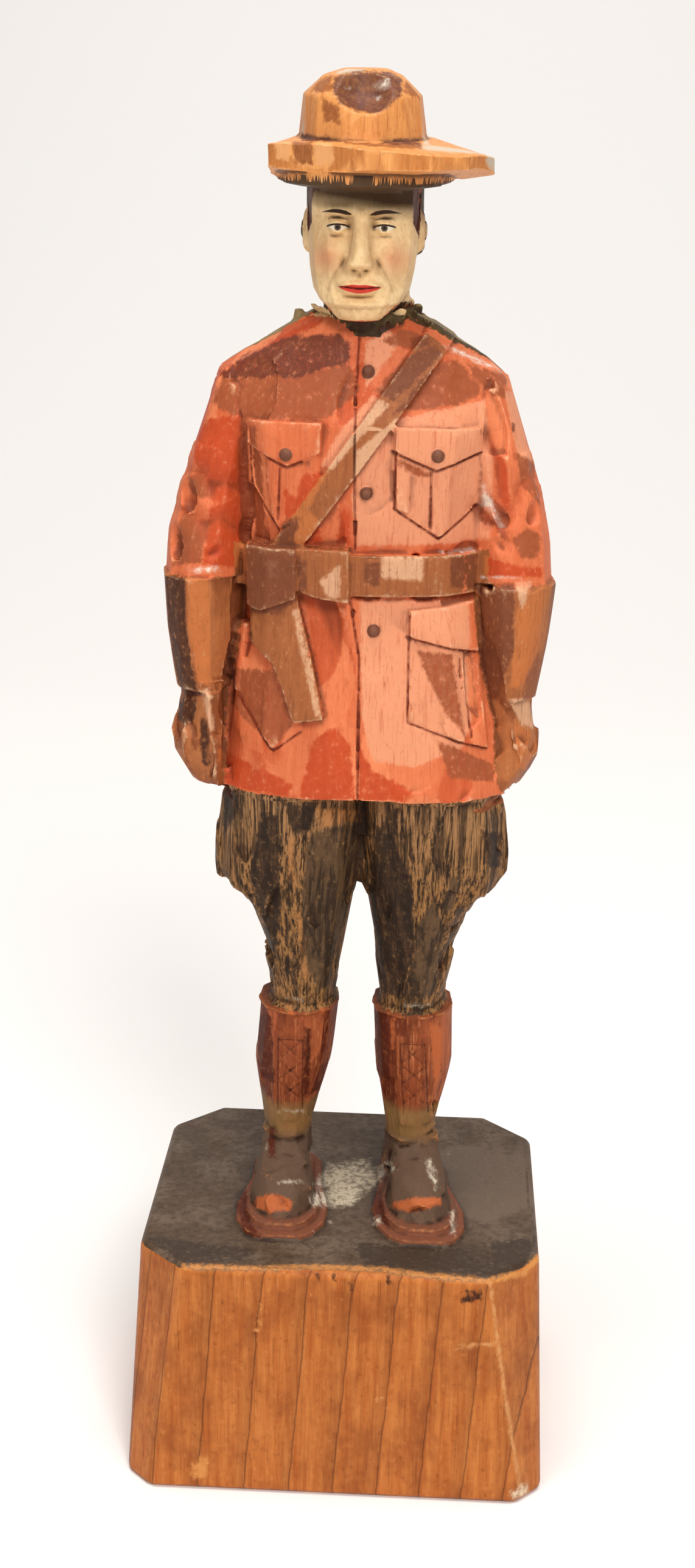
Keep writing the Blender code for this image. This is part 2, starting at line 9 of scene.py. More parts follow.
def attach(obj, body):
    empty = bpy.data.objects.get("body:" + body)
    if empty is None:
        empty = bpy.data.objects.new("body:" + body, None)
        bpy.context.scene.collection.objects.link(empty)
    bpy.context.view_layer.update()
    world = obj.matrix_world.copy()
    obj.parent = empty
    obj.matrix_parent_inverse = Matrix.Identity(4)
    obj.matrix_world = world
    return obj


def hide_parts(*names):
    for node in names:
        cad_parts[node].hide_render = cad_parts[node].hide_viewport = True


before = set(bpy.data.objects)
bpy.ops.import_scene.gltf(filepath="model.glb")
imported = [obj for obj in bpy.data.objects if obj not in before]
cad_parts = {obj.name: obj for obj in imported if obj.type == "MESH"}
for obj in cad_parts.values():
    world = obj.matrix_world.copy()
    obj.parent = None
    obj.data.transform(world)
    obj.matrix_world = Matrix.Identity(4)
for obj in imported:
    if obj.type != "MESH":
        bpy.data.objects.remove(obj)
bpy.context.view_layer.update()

# The view that the carving is looked at from: a camera close in front, a little above the hat and
# turned slightly to the figure's left. Places named in pixels below are read in this view.
PICTURE_WIDTH, PICTURE_HEIGHT = 1142, 2576
LENS, SENSOR = 46.41, 36.0
PIXELS_PER_MM = 12.4
camera = bpy.data.objects.new("camera", bpy.data.cameras.new("camera"))
camera.data.lens = LENS
camera.data.sensor_width = SENSOR
camera.location = (0.0101, -0.2521, 0.1694)
camera.rotation_euler = Euler((1.2723, -0.0199, 0.0497))
bpy.context.scene.collection.objects.link(camera)
bpy.context.scene.camera = camera


# The billet: one upright stick of clear softwood, from which block and figure are whittled in one.
# Its grain runs up through both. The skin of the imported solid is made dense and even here, so that
# the knife strokes below can be cut into it. Lengths are parts, a hundredth of the figure's height.
PART = 0.001467
MM = PART * 1000
BLOCK_TOP = 0.0333
SKIN_STEP = 0.00026
HEAD_BOX = ((-5.6, 5.6), (-9.5, 0.0), (80.5, 91.2))

bm = bmesh.new()
bm.from_mesh(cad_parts["carved_figure"].data)
bmesh.ops.remove_doubles(bm, verts=bm.verts, dist=1e-7)
bmesh.ops.recalc_face_normals(bm, faces=bm.faces)
mesh = bpy.data.meshes.new("carving")
bm.to_mesh(mesh)
bm.free()
carving = bpy.data.objects.new("carving", mesh)
bpy.context.scene.collection.objects.link(carving)
even = carving.modifiers.new("Even skin", "REMESH")
even.mode = "VOXEL"
even.voxel_size = SKIN_STEP
graph = bpy.context.evaluated_depsgraph_get()
mesh = bpy.data.meshes.new_from_object(carving.evaluated_get(graph))
carving.modifiers.clear()
carving.data = mesh
mesh.transform(Matrix.Scale(1 / PART, 4) @ Matrix.Translation((0, 0, -BLOCK_TOP)))

bm = bmesh.new()
bm.from_mesh(mesh)
in_box = [
    face
    for face in bm.faces
    if all(low < value < high for value, (low, high) in zip(face.calc_center_median(), HEAD_BOX))
]
box_edges = sorted({edge for face in in_box for edge in face.edges}, key=lambda edge: edge.index)
bmesh.ops.subdivide_edges(bm, edges=box_edges, cuts=1, use_grid_fill=True)
bm.to_mesh(mesh)
bm.free()

skin = np.zeros(len(mesh.vertices) * 3)
mesh.vertices.foreach_get("co", skin)
skin = skin.reshape(-1, 3)
edges = np.zeros(len(mesh.edges) * 2, int)
mesh.edges.foreach_get("vertices", edges)
edges = edges.reshape(-1, 2)


def facing():
    """The direction that each point of the skin faces, after the cuts so far."""
    mesh.vertices.foreach_set("co", skin.ravel())
    mesh.update()
    found = np.zeros(len(skin) * 3)
    mesh.vertex_normals.foreach_get("vector", found)
    return found.reshape(-1, 3)


def in_picture(points):
    """Where points given in parts are seen, in pixels, and how squarely they face the camera."""
    away = points * PART + (0, 0, BLOCK_TOP) - np.array(camera.location)
    local = away @ np.array(camera.rotation_euler.to_matrix())
    scale = LENS / SENSOR * PICTURE_HEIGHT / -local[:, 2]
    across = PICTURE_WIDTH / 2 + local[:, 0] * scale
    down = PICTURE_HEIGHT / 2 - local[:, 1] * scale
    towards = -(normals * away).sum(1) / np.linalg.norm(away, axis=1)
    return across, down, towards


def line_gap(points, across, up, reach=6.0):
    """How far places lie from a line through points, up to a reach."""
    corners = np.array(points, float)
    (low_x, low_y), (high_x, high_y) = corners.min(0) - reach, corners.max(0) + reach
    found = np.full(len(across), float(reach))
    near = np.flatnonzero((across > low_x) & (across < high_x) & (up > low_y) & (up < high_y))
    for (x0, y0), (x1, y1) in zip(corners, corners[1:]):
        run, rise = x1 - x0, y1 - y0
        along = (across[near] - x0) * run + (up[near] - y0) * rise
        share = np.clip(along / (run * run + rise * rise), 0, 1)
        gap = np.hypot(across[near] - x0 - share * run, up[near] - y0 - share * rise)
        found[near] = np.minimum(found[near], gap)
    return found


def outline_gap(outline, across, up, reach=6.0):
    """How far places lie inside an outline, and below nought how far outside it, to a reach."""
    corners = np.array(outline, float)
    (low_x, low_y), (high_x, high_y) = corners.min(0), corners.max(0)
    near = np.flatnonzero((across > low_x) & (across < high_x) & (up > low_y) & (up < high_y))
    inside = np.zeros(len(near), bool)
    for (x0, y0), (x1, y1) in zip(corners, np.roll(corners, -1, axis=0)):
        if y1 != y0:
            between = (up[near] >= min(y0, y1)) & (up[near] < max(y0, y1))
            inside ^= between & (across[near] < x0 + (up[near] - y0) / (y1 - y0) * (x1 - x0))
    gap = -line_gap([*outline, outline[0]], across, up, reach)
    gap[near[inside]] *= -1
    return gap


def beyond(cuts, power=2.4, side=1):
    """How far the skin lies outside a form given by level cuts: height, middle, half width, front, back."""
    levels = np.array(sorted(cuts))
    height = np.clip(skin[:, 2], levels[0, 0], levels[-1, 0])
    middle, half, near, far = (np.interp(height, levels[:, 0], levels[:, k]) for k in range(1, 5))
    depth = (far - near) / 2
    across = np.abs(skin[:, 0] * side - middle) / half
    along = np.abs(skin[:, 1] - (near + far) / 2) / depth
    share = (across**power + along**power) ** (1 / power)
    level = np.maximum(levels[0, 0] - skin[:, 2], skin[:, 2] - levels[-1, 0])
    return np.maximum((share - 1) * np.minimum(half, depth), level)


STROKE_TRIES, STROKE_REACH, SAME_SIDE = 2500, 1.7, 0.5


def whittle(area, long, wide, depth, seed, lean=0.0):
    """Flat knife strokes, longer up the grain than across it, over part of the skin."""
    chance = np.random.default_rng(seed)
    picks = np.flatnonzero(area)
    spread = np.array([wide, wide, long]) / 2
    centres = np.zeros((0, 3))
    for point in chance.permutation(picks)[:STROKE_TRIES]:
        if not len(centres) or (np.linalg.norm((skin[point] - centres) / spread, axis=1) > 1).all():
            centres = np.vstack([centres, skin[point]])
    for centre in centres:
        gap = (skin[picks] - centre) / spread
        gap = np.einsum("ij,ij->i", gap, gap)
        near = picks[gap < STROKE_REACH]
        middle = picks[np.argmin(gap)]
        near = near[normals[near] @ normals[middle] > SAME_SIDE]
        direction = normals[near].mean(0) + chance.normal(0, lean, 3)
        direction /= np.linalg.norm(direction)
        over = near[(skin[near] - centre) @ direction > -depth]
        skin[over] -= ((skin[over] - centre) @ direction + depth)[:, None] * direction
        marks["stroke"][over] = chance.uniform(-1, 1)


def gouge(middle, reach, tilt, limit=0.6):
    """Scoops a leaf-shaped hollow: its place, its reach along, in and across, and its tilt in degrees."""
    turn = np.array(Euler((0, math.radians(tilt), 0)).to_matrix())
    start = (skin - middle) @ turn / reach
    inside = np.flatnonzero((start**2).sum(1) < 1)
    start, way = start[inside], -(normals[inside] @ turn) / reach
    a, b, c = (way**2).sum(1), (start * way).sum(1), (start**2).sum(1) - 1
    push = np.minimum((np.sqrt(b * b - a * c) - b) / a, limit)
    skin[inside] -= normals[inside] * push[:, None]


def score(points, half_width=0.2, depth=0.14):
    """Draws the knife's point along a line on the front, and notes where its shadow lies."""
    gap = line_gap(points, x, z)
    skin[:] -= normals * (np.clip(1 - gap / half_width, 0, 1) * front * depth)[:, None]
    marks["line"] = np.maximum(marks["line"], np.where(front, 0.75 * half_width - gap, -3) * MM)


# A mark counts only where the skin faces the camera at least this squarely, and is measured to this
# many pixels from its outline. Far outside a mark its value in mm is the last of these.
SEEN, SEEN_SLOPE, MARK_REACH, FAR_OUTSIDE = 0.12, 6, 60.0, -4.0


def crease(points, half_width=1.9, depth=0.32):
    """Cuts a soft fold along a line seen in the camera's view, and notes in mm where painted shade lies
    along it.
    """
    gap = line_gap(points, across, down, MARK_REACH) / PIXELS_PER_MM
    seen = towards > SEEN
    share = np.clip(1 - gap / half_width, 0, 1) ** 1.2 * seen
    skin[:] -= normals * (share * depth)[:, None]
    marks["fold"] = np.maximum(marks["fold"], np.where(seen, half_width * 0.5 - gap, FAR_OUTSIDE))


def mark(areas):
    """Adds areas, seen in the camera's view, to the painter's marks, in mm inside their outlines."""
    for name, outlines in areas.items():
        for outline in outlines:
            gap = outline_gap(outline, across, down, MARK_REACH) / PIXELS_PER_MM
            marks[name] = np.maximum(marks[name], np.minimum(gap, (towards - SEEN) * SEEN_SLOPE))


def inside(*gaps):
    """How far each point lies inside a form, from how far it lies inside each of its sides."""
    return np.minimum.reduce(gaps)


# The shade and deep marks darken flats: partly darker paint, partly painted shade where a flat turns from
# the light or lies between parts.
PAINT_MARKS = ("shade", "deep", "glow", "faded", "dust", "line", "fold")
marks = {name: np.full(len(skin), FAR_OUTSIDE) for name in PAINT_MARKS}
marks["stroke"] = np.zeros(len(skin))
normals = facing()
x, y, z = skin.T.copy()
FACES_FRONT = -0.25
front = (y < 0) & (normals[:, 1] < FACES_FRONT)
across, down, towards = in_picture(skin)


# The block that the figure stands on: the foot of the billet, sawn square with its corners sliced
# off, and its top cut back round the boots. The sides are varnished and show upright growth lines,
# and the top has a dark wash with dust rubbed into it between the feet.
WASH_EDGE = -0.04
FACES_UP = 0.6
PIXELS_PER_PART = 20
BARE_EDGE = [
    (270, 2086), (420, 2088), (520, 2085), (620, 2090), (700, 2101), (800, 2110), (862, 2090), (884, 2062),
    (900, 2056), (900, 2150), (270, 2150),
]
BLOCK_MARKS = {
    "deep": [
        [(520, 2092), (526, 2092), (526, 2106), (521, 2106)],
        [(546, 2092), (551, 2092), (551, 2104), (546, 2104)],
        [(571, 2106), (577, 2106), (577, 2120), (572, 2120)],
        [(635, 2096), (640, 2096), (640, 2110), (635, 2110)],
        [(752, 2122), (790, 2118), (794, 2134), (760, 2144)],
    ],
    "shade": [
        [(580, 2040), (720, 2052), (884, 2030), (860, 2085), (800, 2100), (600, 2082)],
        [(238, 2030), (420, 2050), (420, 2078), (300, 2076)],
        [(384, 1960), (404, 1950), (412, 2010), (440, 2040), (400, 2030)],
        [(608, 1960), (625, 1950), (640, 2020), (616, 2000)],
    ],
    "glow": [
        [
            (300, 2076), (420, 2080), (520, 2077), (620, 2081), (700, 2091), (800, 2100), (858, 2086),
            (885, 2058), (887, 2072), (862, 2096), (800, 2110), (700, 2100), (620, 2089), (520, 2085),
            (420, 2087), (300, 2085),
        ],
        [(436, 2120), (442, 2116), (424, 2200), (418, 2196)],
        [(596, 2220), (600, 2220), (598, 2290), (594, 2290)],
        [(317, 2400), (346, 2390), (340, 2430), (312, 2430)],
    ],
    "faded": [
        [(670, 2208), (740, 2210), (815, 2205), (816, 2211), (740, 2216), (672, 2213)],
        [(803, 2108), (807, 2106), (833, 2290), (857, 2440), (853, 2446), (829, 2310)],
        [(618, 2298), (624, 2296), (636, 2312), (630, 2314)],
        [(690, 1915), (740, 1880), (860, 1890), (880, 1980), (800, 2010), (740, 1990)],
    ],
    "dust": [
        [(513, 1944), (539, 1908), (602, 1899), (615, 1913), (575, 1944), (521, 1957)],
        [(505, 1960), (560, 1945), (640, 1900), (650, 1920), (580, 1985), (510, 1985)],
        [(537, 2004), (546, 2003), (546, 2011), (538, 2011)],
        [(610, 1998), (626, 1996), (630, 2014), (612, 2016)],
        [(733, 1889), (742, 1889), (741, 1897), (734, 1897)],
        [(514, 2021), (518, 2021), (519, 2029), (515, 2029)],
        [(738, 1990), (750, 1980), (750, 2030), (738, 2028)],
        [(832, 2452), (868, 2430), (872, 2462), (840, 2470)],
        [(434, 1880), (440, 1876), (441, 1890), (435, 1890)],
    ],
}
on_top = np.where(normals[:, 2] > FACES_UP, 2.0, z - WASH_EDGE)
off_edge = -outline_gap(BARE_EDGE, across, down, MARK_REACH) / PIXELS_PER_PART
marks["wash"] = np.minimum(on_top, off_edge) * MM
mark(BLOCK_MARKS)


def linear(colour):
    """A colour given as sRGB hex, in linear light."""
    parts = [int(colour[k : k + 2], 16) / 255 for k in (1, 3, 5)]
    return [c / 12.92 if c <= 0.04045 else ((c + 0.055) / 1.055) ** 2.4 for c in parts] + [1.0]


def node(tree, kind, inputs=None, stops=(), **settings):
    """Adds a node with its settings and ramp stops, sets or links its inputs, and gives its outputs."""
    made = tree.nodes.new("ShaderNode" + kind)
    for name, value in settings.items():
        setattr(made, name, value)
    for number, (place, shade) in enumerate(stops):
        ramp = made.color_ramp.elements
        element = ramp[number] if number < 2 else ramp.new(place)
        element.position = place
        element.color = linear(shade)
    for name, value in (inputs or {}).items():
        if isinstance(value, bpy.types.NodeSocket):
            tree.links.new(value, made.inputs[name])
        else:
            made.inputs[name].default_value = linear(value) if isinstance(value, str) else value
    return made.outputs


def overlay(tree, under, over, amount):
    """Lays one colour over another by an amount."""
    return node(tree, "Mix", {0: amount, 6: under, 7: over}, data_type="RGBA")[2]


def band(tree, value, low, high, most=1.0, least=0.0):
    """How far a value has come from a low to a high limit, as an amount from least to most."""
    limits = {"Value": value, "From Min": low, "From Max": high, "To Min": least, "To Max": most}
    return node(tree, "MapRange", limits)[0]


def veil(tree, colour, tint, pattern, low, high, most=1.0):
    """Lays a tint over a colour where a pattern lies between two limits."""
    return overlay(tree, colour, tint, band(tree, pattern, low, high, most))


def where(tree, name, ragged=None, low=-0.08, high=0.08):
    """How much of a mark of the skin shows, its edge made uneven as a brush leaves it."""
    value = node(tree, "Attribute", attribute_name=name)["Fac"]
    if ragged is not None:
        value = node(tree, "Math", {0: value, 1: ragged}, operation="ADD")[0]
    limits = {"Value": value, "From Min": low, "From Max": high}
    return node(tree, "MapRange", limits, interpolation_type="SMOOTHSTEP")[0]


# The wood's patterns: how often each repeats in a mm, across the grain and up it, and its detail. A
# painted edge wanders by up to RAGGED mm.
GRAINS = {
    "fibre": (3.0, 0.11, 5.0), "streak": (0.9, 0.06, 4.0),
    "broad": (0.16, 0.12, 3.0), "fine": (1.4, 1.1, 6.0),
}
RAGGED = 0.35


def new_finish(name):
    """An empty finish with its wood, in mm: fibres up the grain, wider streaks, flecks and brush marks."""
    material = bpy.data.materials.new(name)
    material.use_nodes = True
    tree = material.node_tree
    place = node(tree, "TexCoord")["Object"]
    mm = node(tree, "Mapping", {"Vector": place, "Scale": (1000, 1000, 1000)})[0]
    grain = {"mm": mm}
    for key, (across_grain, up_grain, detail) in GRAINS.items():
        spread = node(tree, "Mapping", {"Vector": mm, "Scale": (across_grain, across_grain, up_grain)})[0]
        noise = {"Vector": spread, "Scale": 1.0, "Detail": detail, "Roughness": 0.68}
        grain[key] = node(tree, "TexNoise", noise)["Fac"]
    grain["ragged"] = band(tree, grain["fine"], 0.25, 0.75, RAGGED, -RAGGED)
    return material, tree, grain


# Where a mark starts and is full, in mm inside its outline, and the limits of the brush marks that
# break it with the least that they leave of it. Marks not named here share one pair in flats().
MARK_EDGES = {"worn": (0.45, 1.3), "line": (-0.04, 0.16), "dust": (-0.1, 0.8), "fold": (-0.5, 1.6)}
MARK_WEAR = {"line": (0.3, 0.6, 0.45), "dust": (0.36, 0.56, 0.2), "worn": (0.3, 0.6, 0.3)}


def flats(tree, grain, colour, **tints):
    """Lays marked flats, edges and hollows over a paint, each tinted and broken by brush marks; the dark
    flats are partly painted shade.
    """
    for name, tint in tints.items():
        low, high = MARK_EDGES.get(name, (-0.25, 0.3))
        start, end, least = MARK_WEAR.get(name, (0.25, 0.6, 0.72))
        ragged = None if name == "line" else grain["ragged"]
        amount = where(tree, "proud" if name == "worn" else name, ragged, low, high)
        broken = band(tree, grain["fine"], start, end, 1.0, least)
        amount = node(tree, "Math", {0: amount, 1: broken}, operation="MULTIPLY")[0]
        colour = overlay(tree, colour, tint, amount)
    return colour


def speckled(tree, grain, colour, dark, pale, amount=0.45):
    """Breaks a finish up with small dark and pale spots and with dark fibres, as thin old paint has."""
    colour = veil(tree, colour, dark, grain["fine"], 0.56, 0.72, amount)
    colour = veil(tree, colour, pale, grain["fine"], 0.42, 0.28, amount)
    return veil(tree, colour, dark, grain["fibre"], 0.54, 0.72, amount)


def grime_and_shade(tree, colour, dirt_and_shade="#24130C", strength=0.75):
    """Darkens the hollows of a finish: dirt lying in them, and painted shade at the foot of steps."""
    hollow = band(tree, where(tree, "proud", None, -0.8, -0.1), 0.0, 1.0, 0.0, strength)
    return overlay(tree, colour, dirt_and_shade, hollow)


def cut_tone(tree, grain, low=0.55, high=1.5):
    """How pale a knife flat is: each has a tone of its own, varied along the streaks of the wood."""
    stroke = where(tree, "stroke", None, -1.2, 1.2)
    tone = node(tree, "Math", {0: stroke, 1: grain["streak"]}, operation="ADD")[0]
    return band(tree, tone, low, high)


def finish_shader(material, grain, colour, sheen, relief_grain, relief):
    """Joins a finish's colour, its roughness from a low to a high value, and its relief to its shader."""
    tree = material.node_tree
    shader = tree.nodes["Principled BSDF"]
    rough = band(tree, grain["fine"], 0.0, 1.0, sheen[1], sheen[0])
    bump = node(tree, "Bump", {"Height": grain[relief_grain], "Distance": relief, "Strength": 0.6})[0]
    shader.inputs["Specular IOR Level"].default_value = 0.15
    tree.links.new(colour, shader.inputs["Base Color"])
    tree.links.new(rough, shader.inputs["Roughness"])
    tree.links.new(bump, shader.inputs["Normal"])


# Varnished pine: warm brown and satin, with the dark late wood of the growth lines 5 mm apart. They
# are rings round a pith well outside the block, and lean a little.
PITH = (90, -30, 0)
RING_SPACING = 5.0
LEAN = 0.07
LATE_WOOD = [(0.0, "#FFFFFF"), (0.05, "#000000"), (0.62, "#000000"), (0.96, "#909090")]
block_varnish, tree, grain = new_finish("varnished_pine_with_dark_wash")
split = node(tree, "SeparateXYZ", {0: grain["mm"]})
leaning = node(tree, "Math", {0: split["Z"], 1: -LEAN, 2: split["X"]}, operation="MULTIPLY_ADD")[0]
wander = node(tree, "Math", {0: grain["broad"], 1: 1.0, 2: leaning}, operation="MULTIPLY_ADD")[0]
level = node(tree, "CombineXYZ", {"X": wander, "Y": split["Y"]})[0]
from_pith = node(tree, "VectorMath", {0: level, 1: PITH}, operation="ADD")[0]
radius = node(tree, "VectorMath", {0: from_pith}, operation="LENGTH")["Value"]
rings = node(tree, "Math", {0: radius, 1: RING_SPACING}, operation="DIVIDE")[0]
ring = node(tree, "Math", {0: rings}, operation="FRACT")[0]
late = node(tree, "ValToRGB", {"Fac": ring}, LATE_WOOD)
sides = overlay(tree, "#A8551F", "#CB7D3D", band(tree, grain["streak"], 0.3, 0.7))
sides = veil(tree, sides, "#8A441A", grain["broad"], 0.46, 0.66, 0.6)
sides = speckled(tree, grain, sides, "#65300F", "#D68A4A", 0.5)
line = node(tree, "Math", {0: late[0], 1: 0.85}, operation="MULTIPLY")[0]
sides = overlay(tree, sides, "#4A210C", line)
sides = flats(
    tree, grain, sides, deep="#3A1D10", glow="#D08A48", faded="#CF9158", worn="#D08A4A", dust="#E0C8A8"
)
top = overlay(tree, "#45331F", "#655040", grain["fine"])
top = veil(tree, top, "#766251", grain["broad"], 0.42, 0.62, 0.6)
top = veil(tree, top, "#38291D", grain["streak"], 0.46, 0.6, 0.55)
top = flats(
    tree, grain, top, shade="#3F3025", faded="#6B5848", glow="#C98548", worn="#87725E", dust="#D2C0A2"
)
top = speckled(tree, grain, top, "#33261C", "#8F7A64", 0.35)
colour = overlay(tree, sides, top, where(tree, "wash", grain["ragged"]))
finish_shader(block_varnish, grain, grime_and_shade(tree, colour), (0.36, 0.6), "fibre", 0.0001)


# The boots: laced high boots, whittled round and stained red-brown, rubbed to olive at the ankle and
# nearly black over the foot. Each stands on a shallow ledge that the knife left in the block.
BOOT_TOP = 19.48
LACE_PANELS = ((-5.15, 0.0), (5.95, 0.067))
LACE_HALF, LACE_TOP, LACE_LOW, LACE_CROSSES = 1.15, 16.6, 9.2, 3
LACE_CLEAR = (8, 17.4)
ANKLE, SOLE_TOP = 6.5, 1.1
BOOT_MARKS = {
    "glow": [
        [(466, 1650), (480, 1650), (484, 1668), (472, 1668)],
        [(521, 1646), (536, 1646), (532, 1664), (524, 1660)],
        [(640, 1672), (648, 1672), (648, 1724), (642, 1724)],
        [(726, 1630), (736, 1630), (736, 1652), (727, 1650)],
        [(414, 1984), (419, 1966), (450, 1959), (481, 1971), (481, 1988), (441, 1993)],
        [(642, 1975), (686, 1966), (727, 1966), (727, 1982), (670, 1990), (642, 1986)],
        [(706, 1680), (730, 1690), (728, 1770), (714, 1790)],
    ],
    "shade": [
        [(418, 1667), (446, 1667), (450, 1780), (425, 1770)],
        [(500, 1690), (512, 1690), (508, 1800), (498, 1800)],
        [(612, 1660), (634, 1660), (640, 1780), (624, 1770)],
        [(440, 1850), (452, 1850), (452, 1900), (440, 1900)],
    ],
    "dust": [
        [(454, 1822), (504, 1823), (504, 1829), (454, 1829)],
        [(460, 1640), (500, 1640), (500, 1646), (460, 1646)],
        [(660, 1649), (715, 1649), (715, 1656), (660, 1657)],
        [(696, 1905), (712, 1898), (726, 1950), (714, 1958)],
        [(455, 1938), (500, 1936), (500, 1946), (455, 1946)],
    ],
}
marks["boots"] = (BOOT_TOP - z) * MM
laces = np.zeros(len(skin), bool)
for middle, lean in LACE_PANELS:
    off_panel = np.abs(x - middle - lean * (LACE_TOP - z)) - LACE_HALF
    laces |= (off_panel < 0.5) & (z > LACE_CLEAR[0]) & (z < LACE_CLEAR[1]) & (y < 0)
whittle((z > ANKLE + 0.1) & (z < BOOT_TOP - 0.3) & ~laces, long=5.5, wide=2.2, depth=0.10, seed=3)
whittle((z > SOLE_TOP) & (z < ANKLE - 0.1), long=2.4, wide=2.2, depth=0.12, seed=4, lean=0.1)
for middle, lean in LACE_PANELS:
    low_middle = middle + lean * (LACE_TOP - LACE_LOW)
    step = (LACE_TOP - LACE_LOW) / (LACE_CROSSES + 0.5)
    score([(middle - LACE_HALF, LACE_TOP), (middle + LACE_HALF, LACE_TOP)], 0.14, 0.1)
    for side in (-1, 1):
        score([(middle + side * LACE_HALF, LACE_TOP), (low_middle + side * LACE_HALF, LACE_LOW)], 0.14, 0.1)
        for number in range(LACE_CROSSES):
            high = LACE_TOP - 0.2 - number * step
            centre = middle + lean * (LACE_TOP - high)
            reach = side * LACE_HALF * 0.8
            score([(centre - reach, high), (centre + reach, high - step * 0.8)], 0.12, 0.1)
mark(BOOT_MARKS)


# The riding breeches: flared over the knee, their inner sides scooped back, cut in long upright
# strokes and darkened with a thin wash that leaves the wood showing in streaks along the grain.
BREECHES_MARKS = {
    "deep": [
        [(428, 1335), (458, 1340), (458, 1500), (447, 1625), (432, 1625), (428, 1500), (408, 1440)],
        [
            (607, 1351), (641, 1375), (668, 1432), (678, 1517), (682, 1561), (655, 1645), (624, 1630),
            (600, 1449),
        ],
        [(792, 1365), (828, 1368), (830, 1428), (806, 1424)],
        [(640, 1330), (652, 1330), (652, 1380), (642, 1380)],
        [(466, 1320), (520, 1326), (512, 1366), (480, 1372)],
        [(362, 1296), (392, 1300), (386, 1340), (364, 1370)],
    ],
    "shade": [
        [
            (533, 1365), (607, 1351), (587, 1442), (565, 1540), (519, 1618), (499, 1584), (496, 1469),
            (509, 1378),
        ],
        [(682, 1530), (715, 1480), (730, 1520), (722, 1640), (672, 1645)],
        [(545, 1500), (560, 1500), (548, 1620), (520, 1630)],
        [(738, 1440), (760, 1450), (745, 1500), (732, 1500)],
    ],
    "glow": [
        [(474, 1380), (484, 1378), (484, 1462), (472, 1440)],
        [(486, 1500), (494, 1500), (508, 1610), (500, 1620)],
        [(520, 1330), (600, 1332), (590, 1350), (530, 1362)],
    ],
}
LEG_SCOOPS = [((-2.4, -7.6, 31.0), (7.5, 2.0, 2.6), 72), ((3.2, -7.2, 29.5), (8.0, 2.0, 1.5), 82)]
HEM = 40.6
whittle((z > BOOT_TOP + 0.3) & (z < HEM - 0.4), long=8.0, wide=2.1, depth=0.2, seed=5, lean=0.04)
for place, reach, tilt in LEG_SCOOPS:
    gouge(place, reach, tilt, 0.3)
score([(0.75, HEM - 0.4), (0.85, 36.0)])
mark(BREECHES_MARKS)

# Thin wash and stain on pine: matt, the bare fibres showing between black streaks, and more of them
# high on the thigh. The boots below are a redder stain, rubbed along the shin.
# Each boot stain starts and is full so many mm below the boot's top, and has an amount and two tints.
ANKLE_STAIN = (13.4, 15.0, 0.75, "#6E4A2C", "#A98A52")
FOOT_STAIN = (18.2, 19.6, 0.9, "#453228", "#6A5344")
SOLE_STAIN = (26.6, 27.2, 0.8, "#5A2E20", "#9A5536")
leg_wash, tree, grain = new_finish("dark_wash_and_red_brown_stain_on_pine")
bare = band(tree, grain["fibre"], 0.43, 0.57)
breeches = overlay(tree, "#3D2A1A", "#AE7A47", bare)
thigh = band(tree, where(tree, "boots", None, -34.0, -16.0), 0.0, 1.0, 0.05, 0.62)
rubbed = node(tree, "Math", {0: thigh, 1: bare}, operation="MULTIPLY")[0]
breeches = overlay(tree, breeches, "#B08660", rubbed)
breeches = flats(tree, grain, breeches, shade="#5E4630", deep="#3A281C", glow="#B47A48")
breeches = veil(tree, breeches, "#271B13", grain["streak"], 0.48, 0.58, 0.78)
breeches = speckled(tree, grain, breeches, "#20160F", "#A0764C", 0.6)
breeches = flats(tree, grain, breeches, worn="#B98A5C", line="#1E130D", dust="#D8C8B0")
boots = overlay(tree, "#5F240F", "#B55F36", cut_tone(tree, grain))
boots = veil(tree, boots, "#4C1B0A", grain["streak"], 0.5, 0.6, 0.6)
boots = veil(tree, boots, "#D0804E", grain["fibre"], 0.44, 0.36, 0.55)
shaft = node(tree, "Attribute", attribute_name="boots")["Fac"]
shaft = node(tree, "Math", {0: shaft, 1: grain["ragged"]}, operation="ADD")[0]
for start, full, most, dark, light in (ANKLE_STAIN, FOOT_STAIN, SOLE_STAIN):
    stain = overlay(tree, dark, light, grain["fine"])
    boots = overlay(tree, boots, stain, band(tree, shaft, start, full, most))
boots = flats(
    tree, grain, boots, shade="#521F0E", glow="#BC6235", worn="#C07A48", line="#40190D", dust="#D8C8B0"
)
boots = speckled(tree, grain, boots, "#4A1B0C", "#B87A50", 0.3)
colour = overlay(tree, breeches, boots, where(tree, "boots", grain["ragged"], -0.05, 0.05))
finish_shader(leg_wash, grain, grime_and_shade(tree, colour), (0.5, 0.72), "fibre", 0.00016)


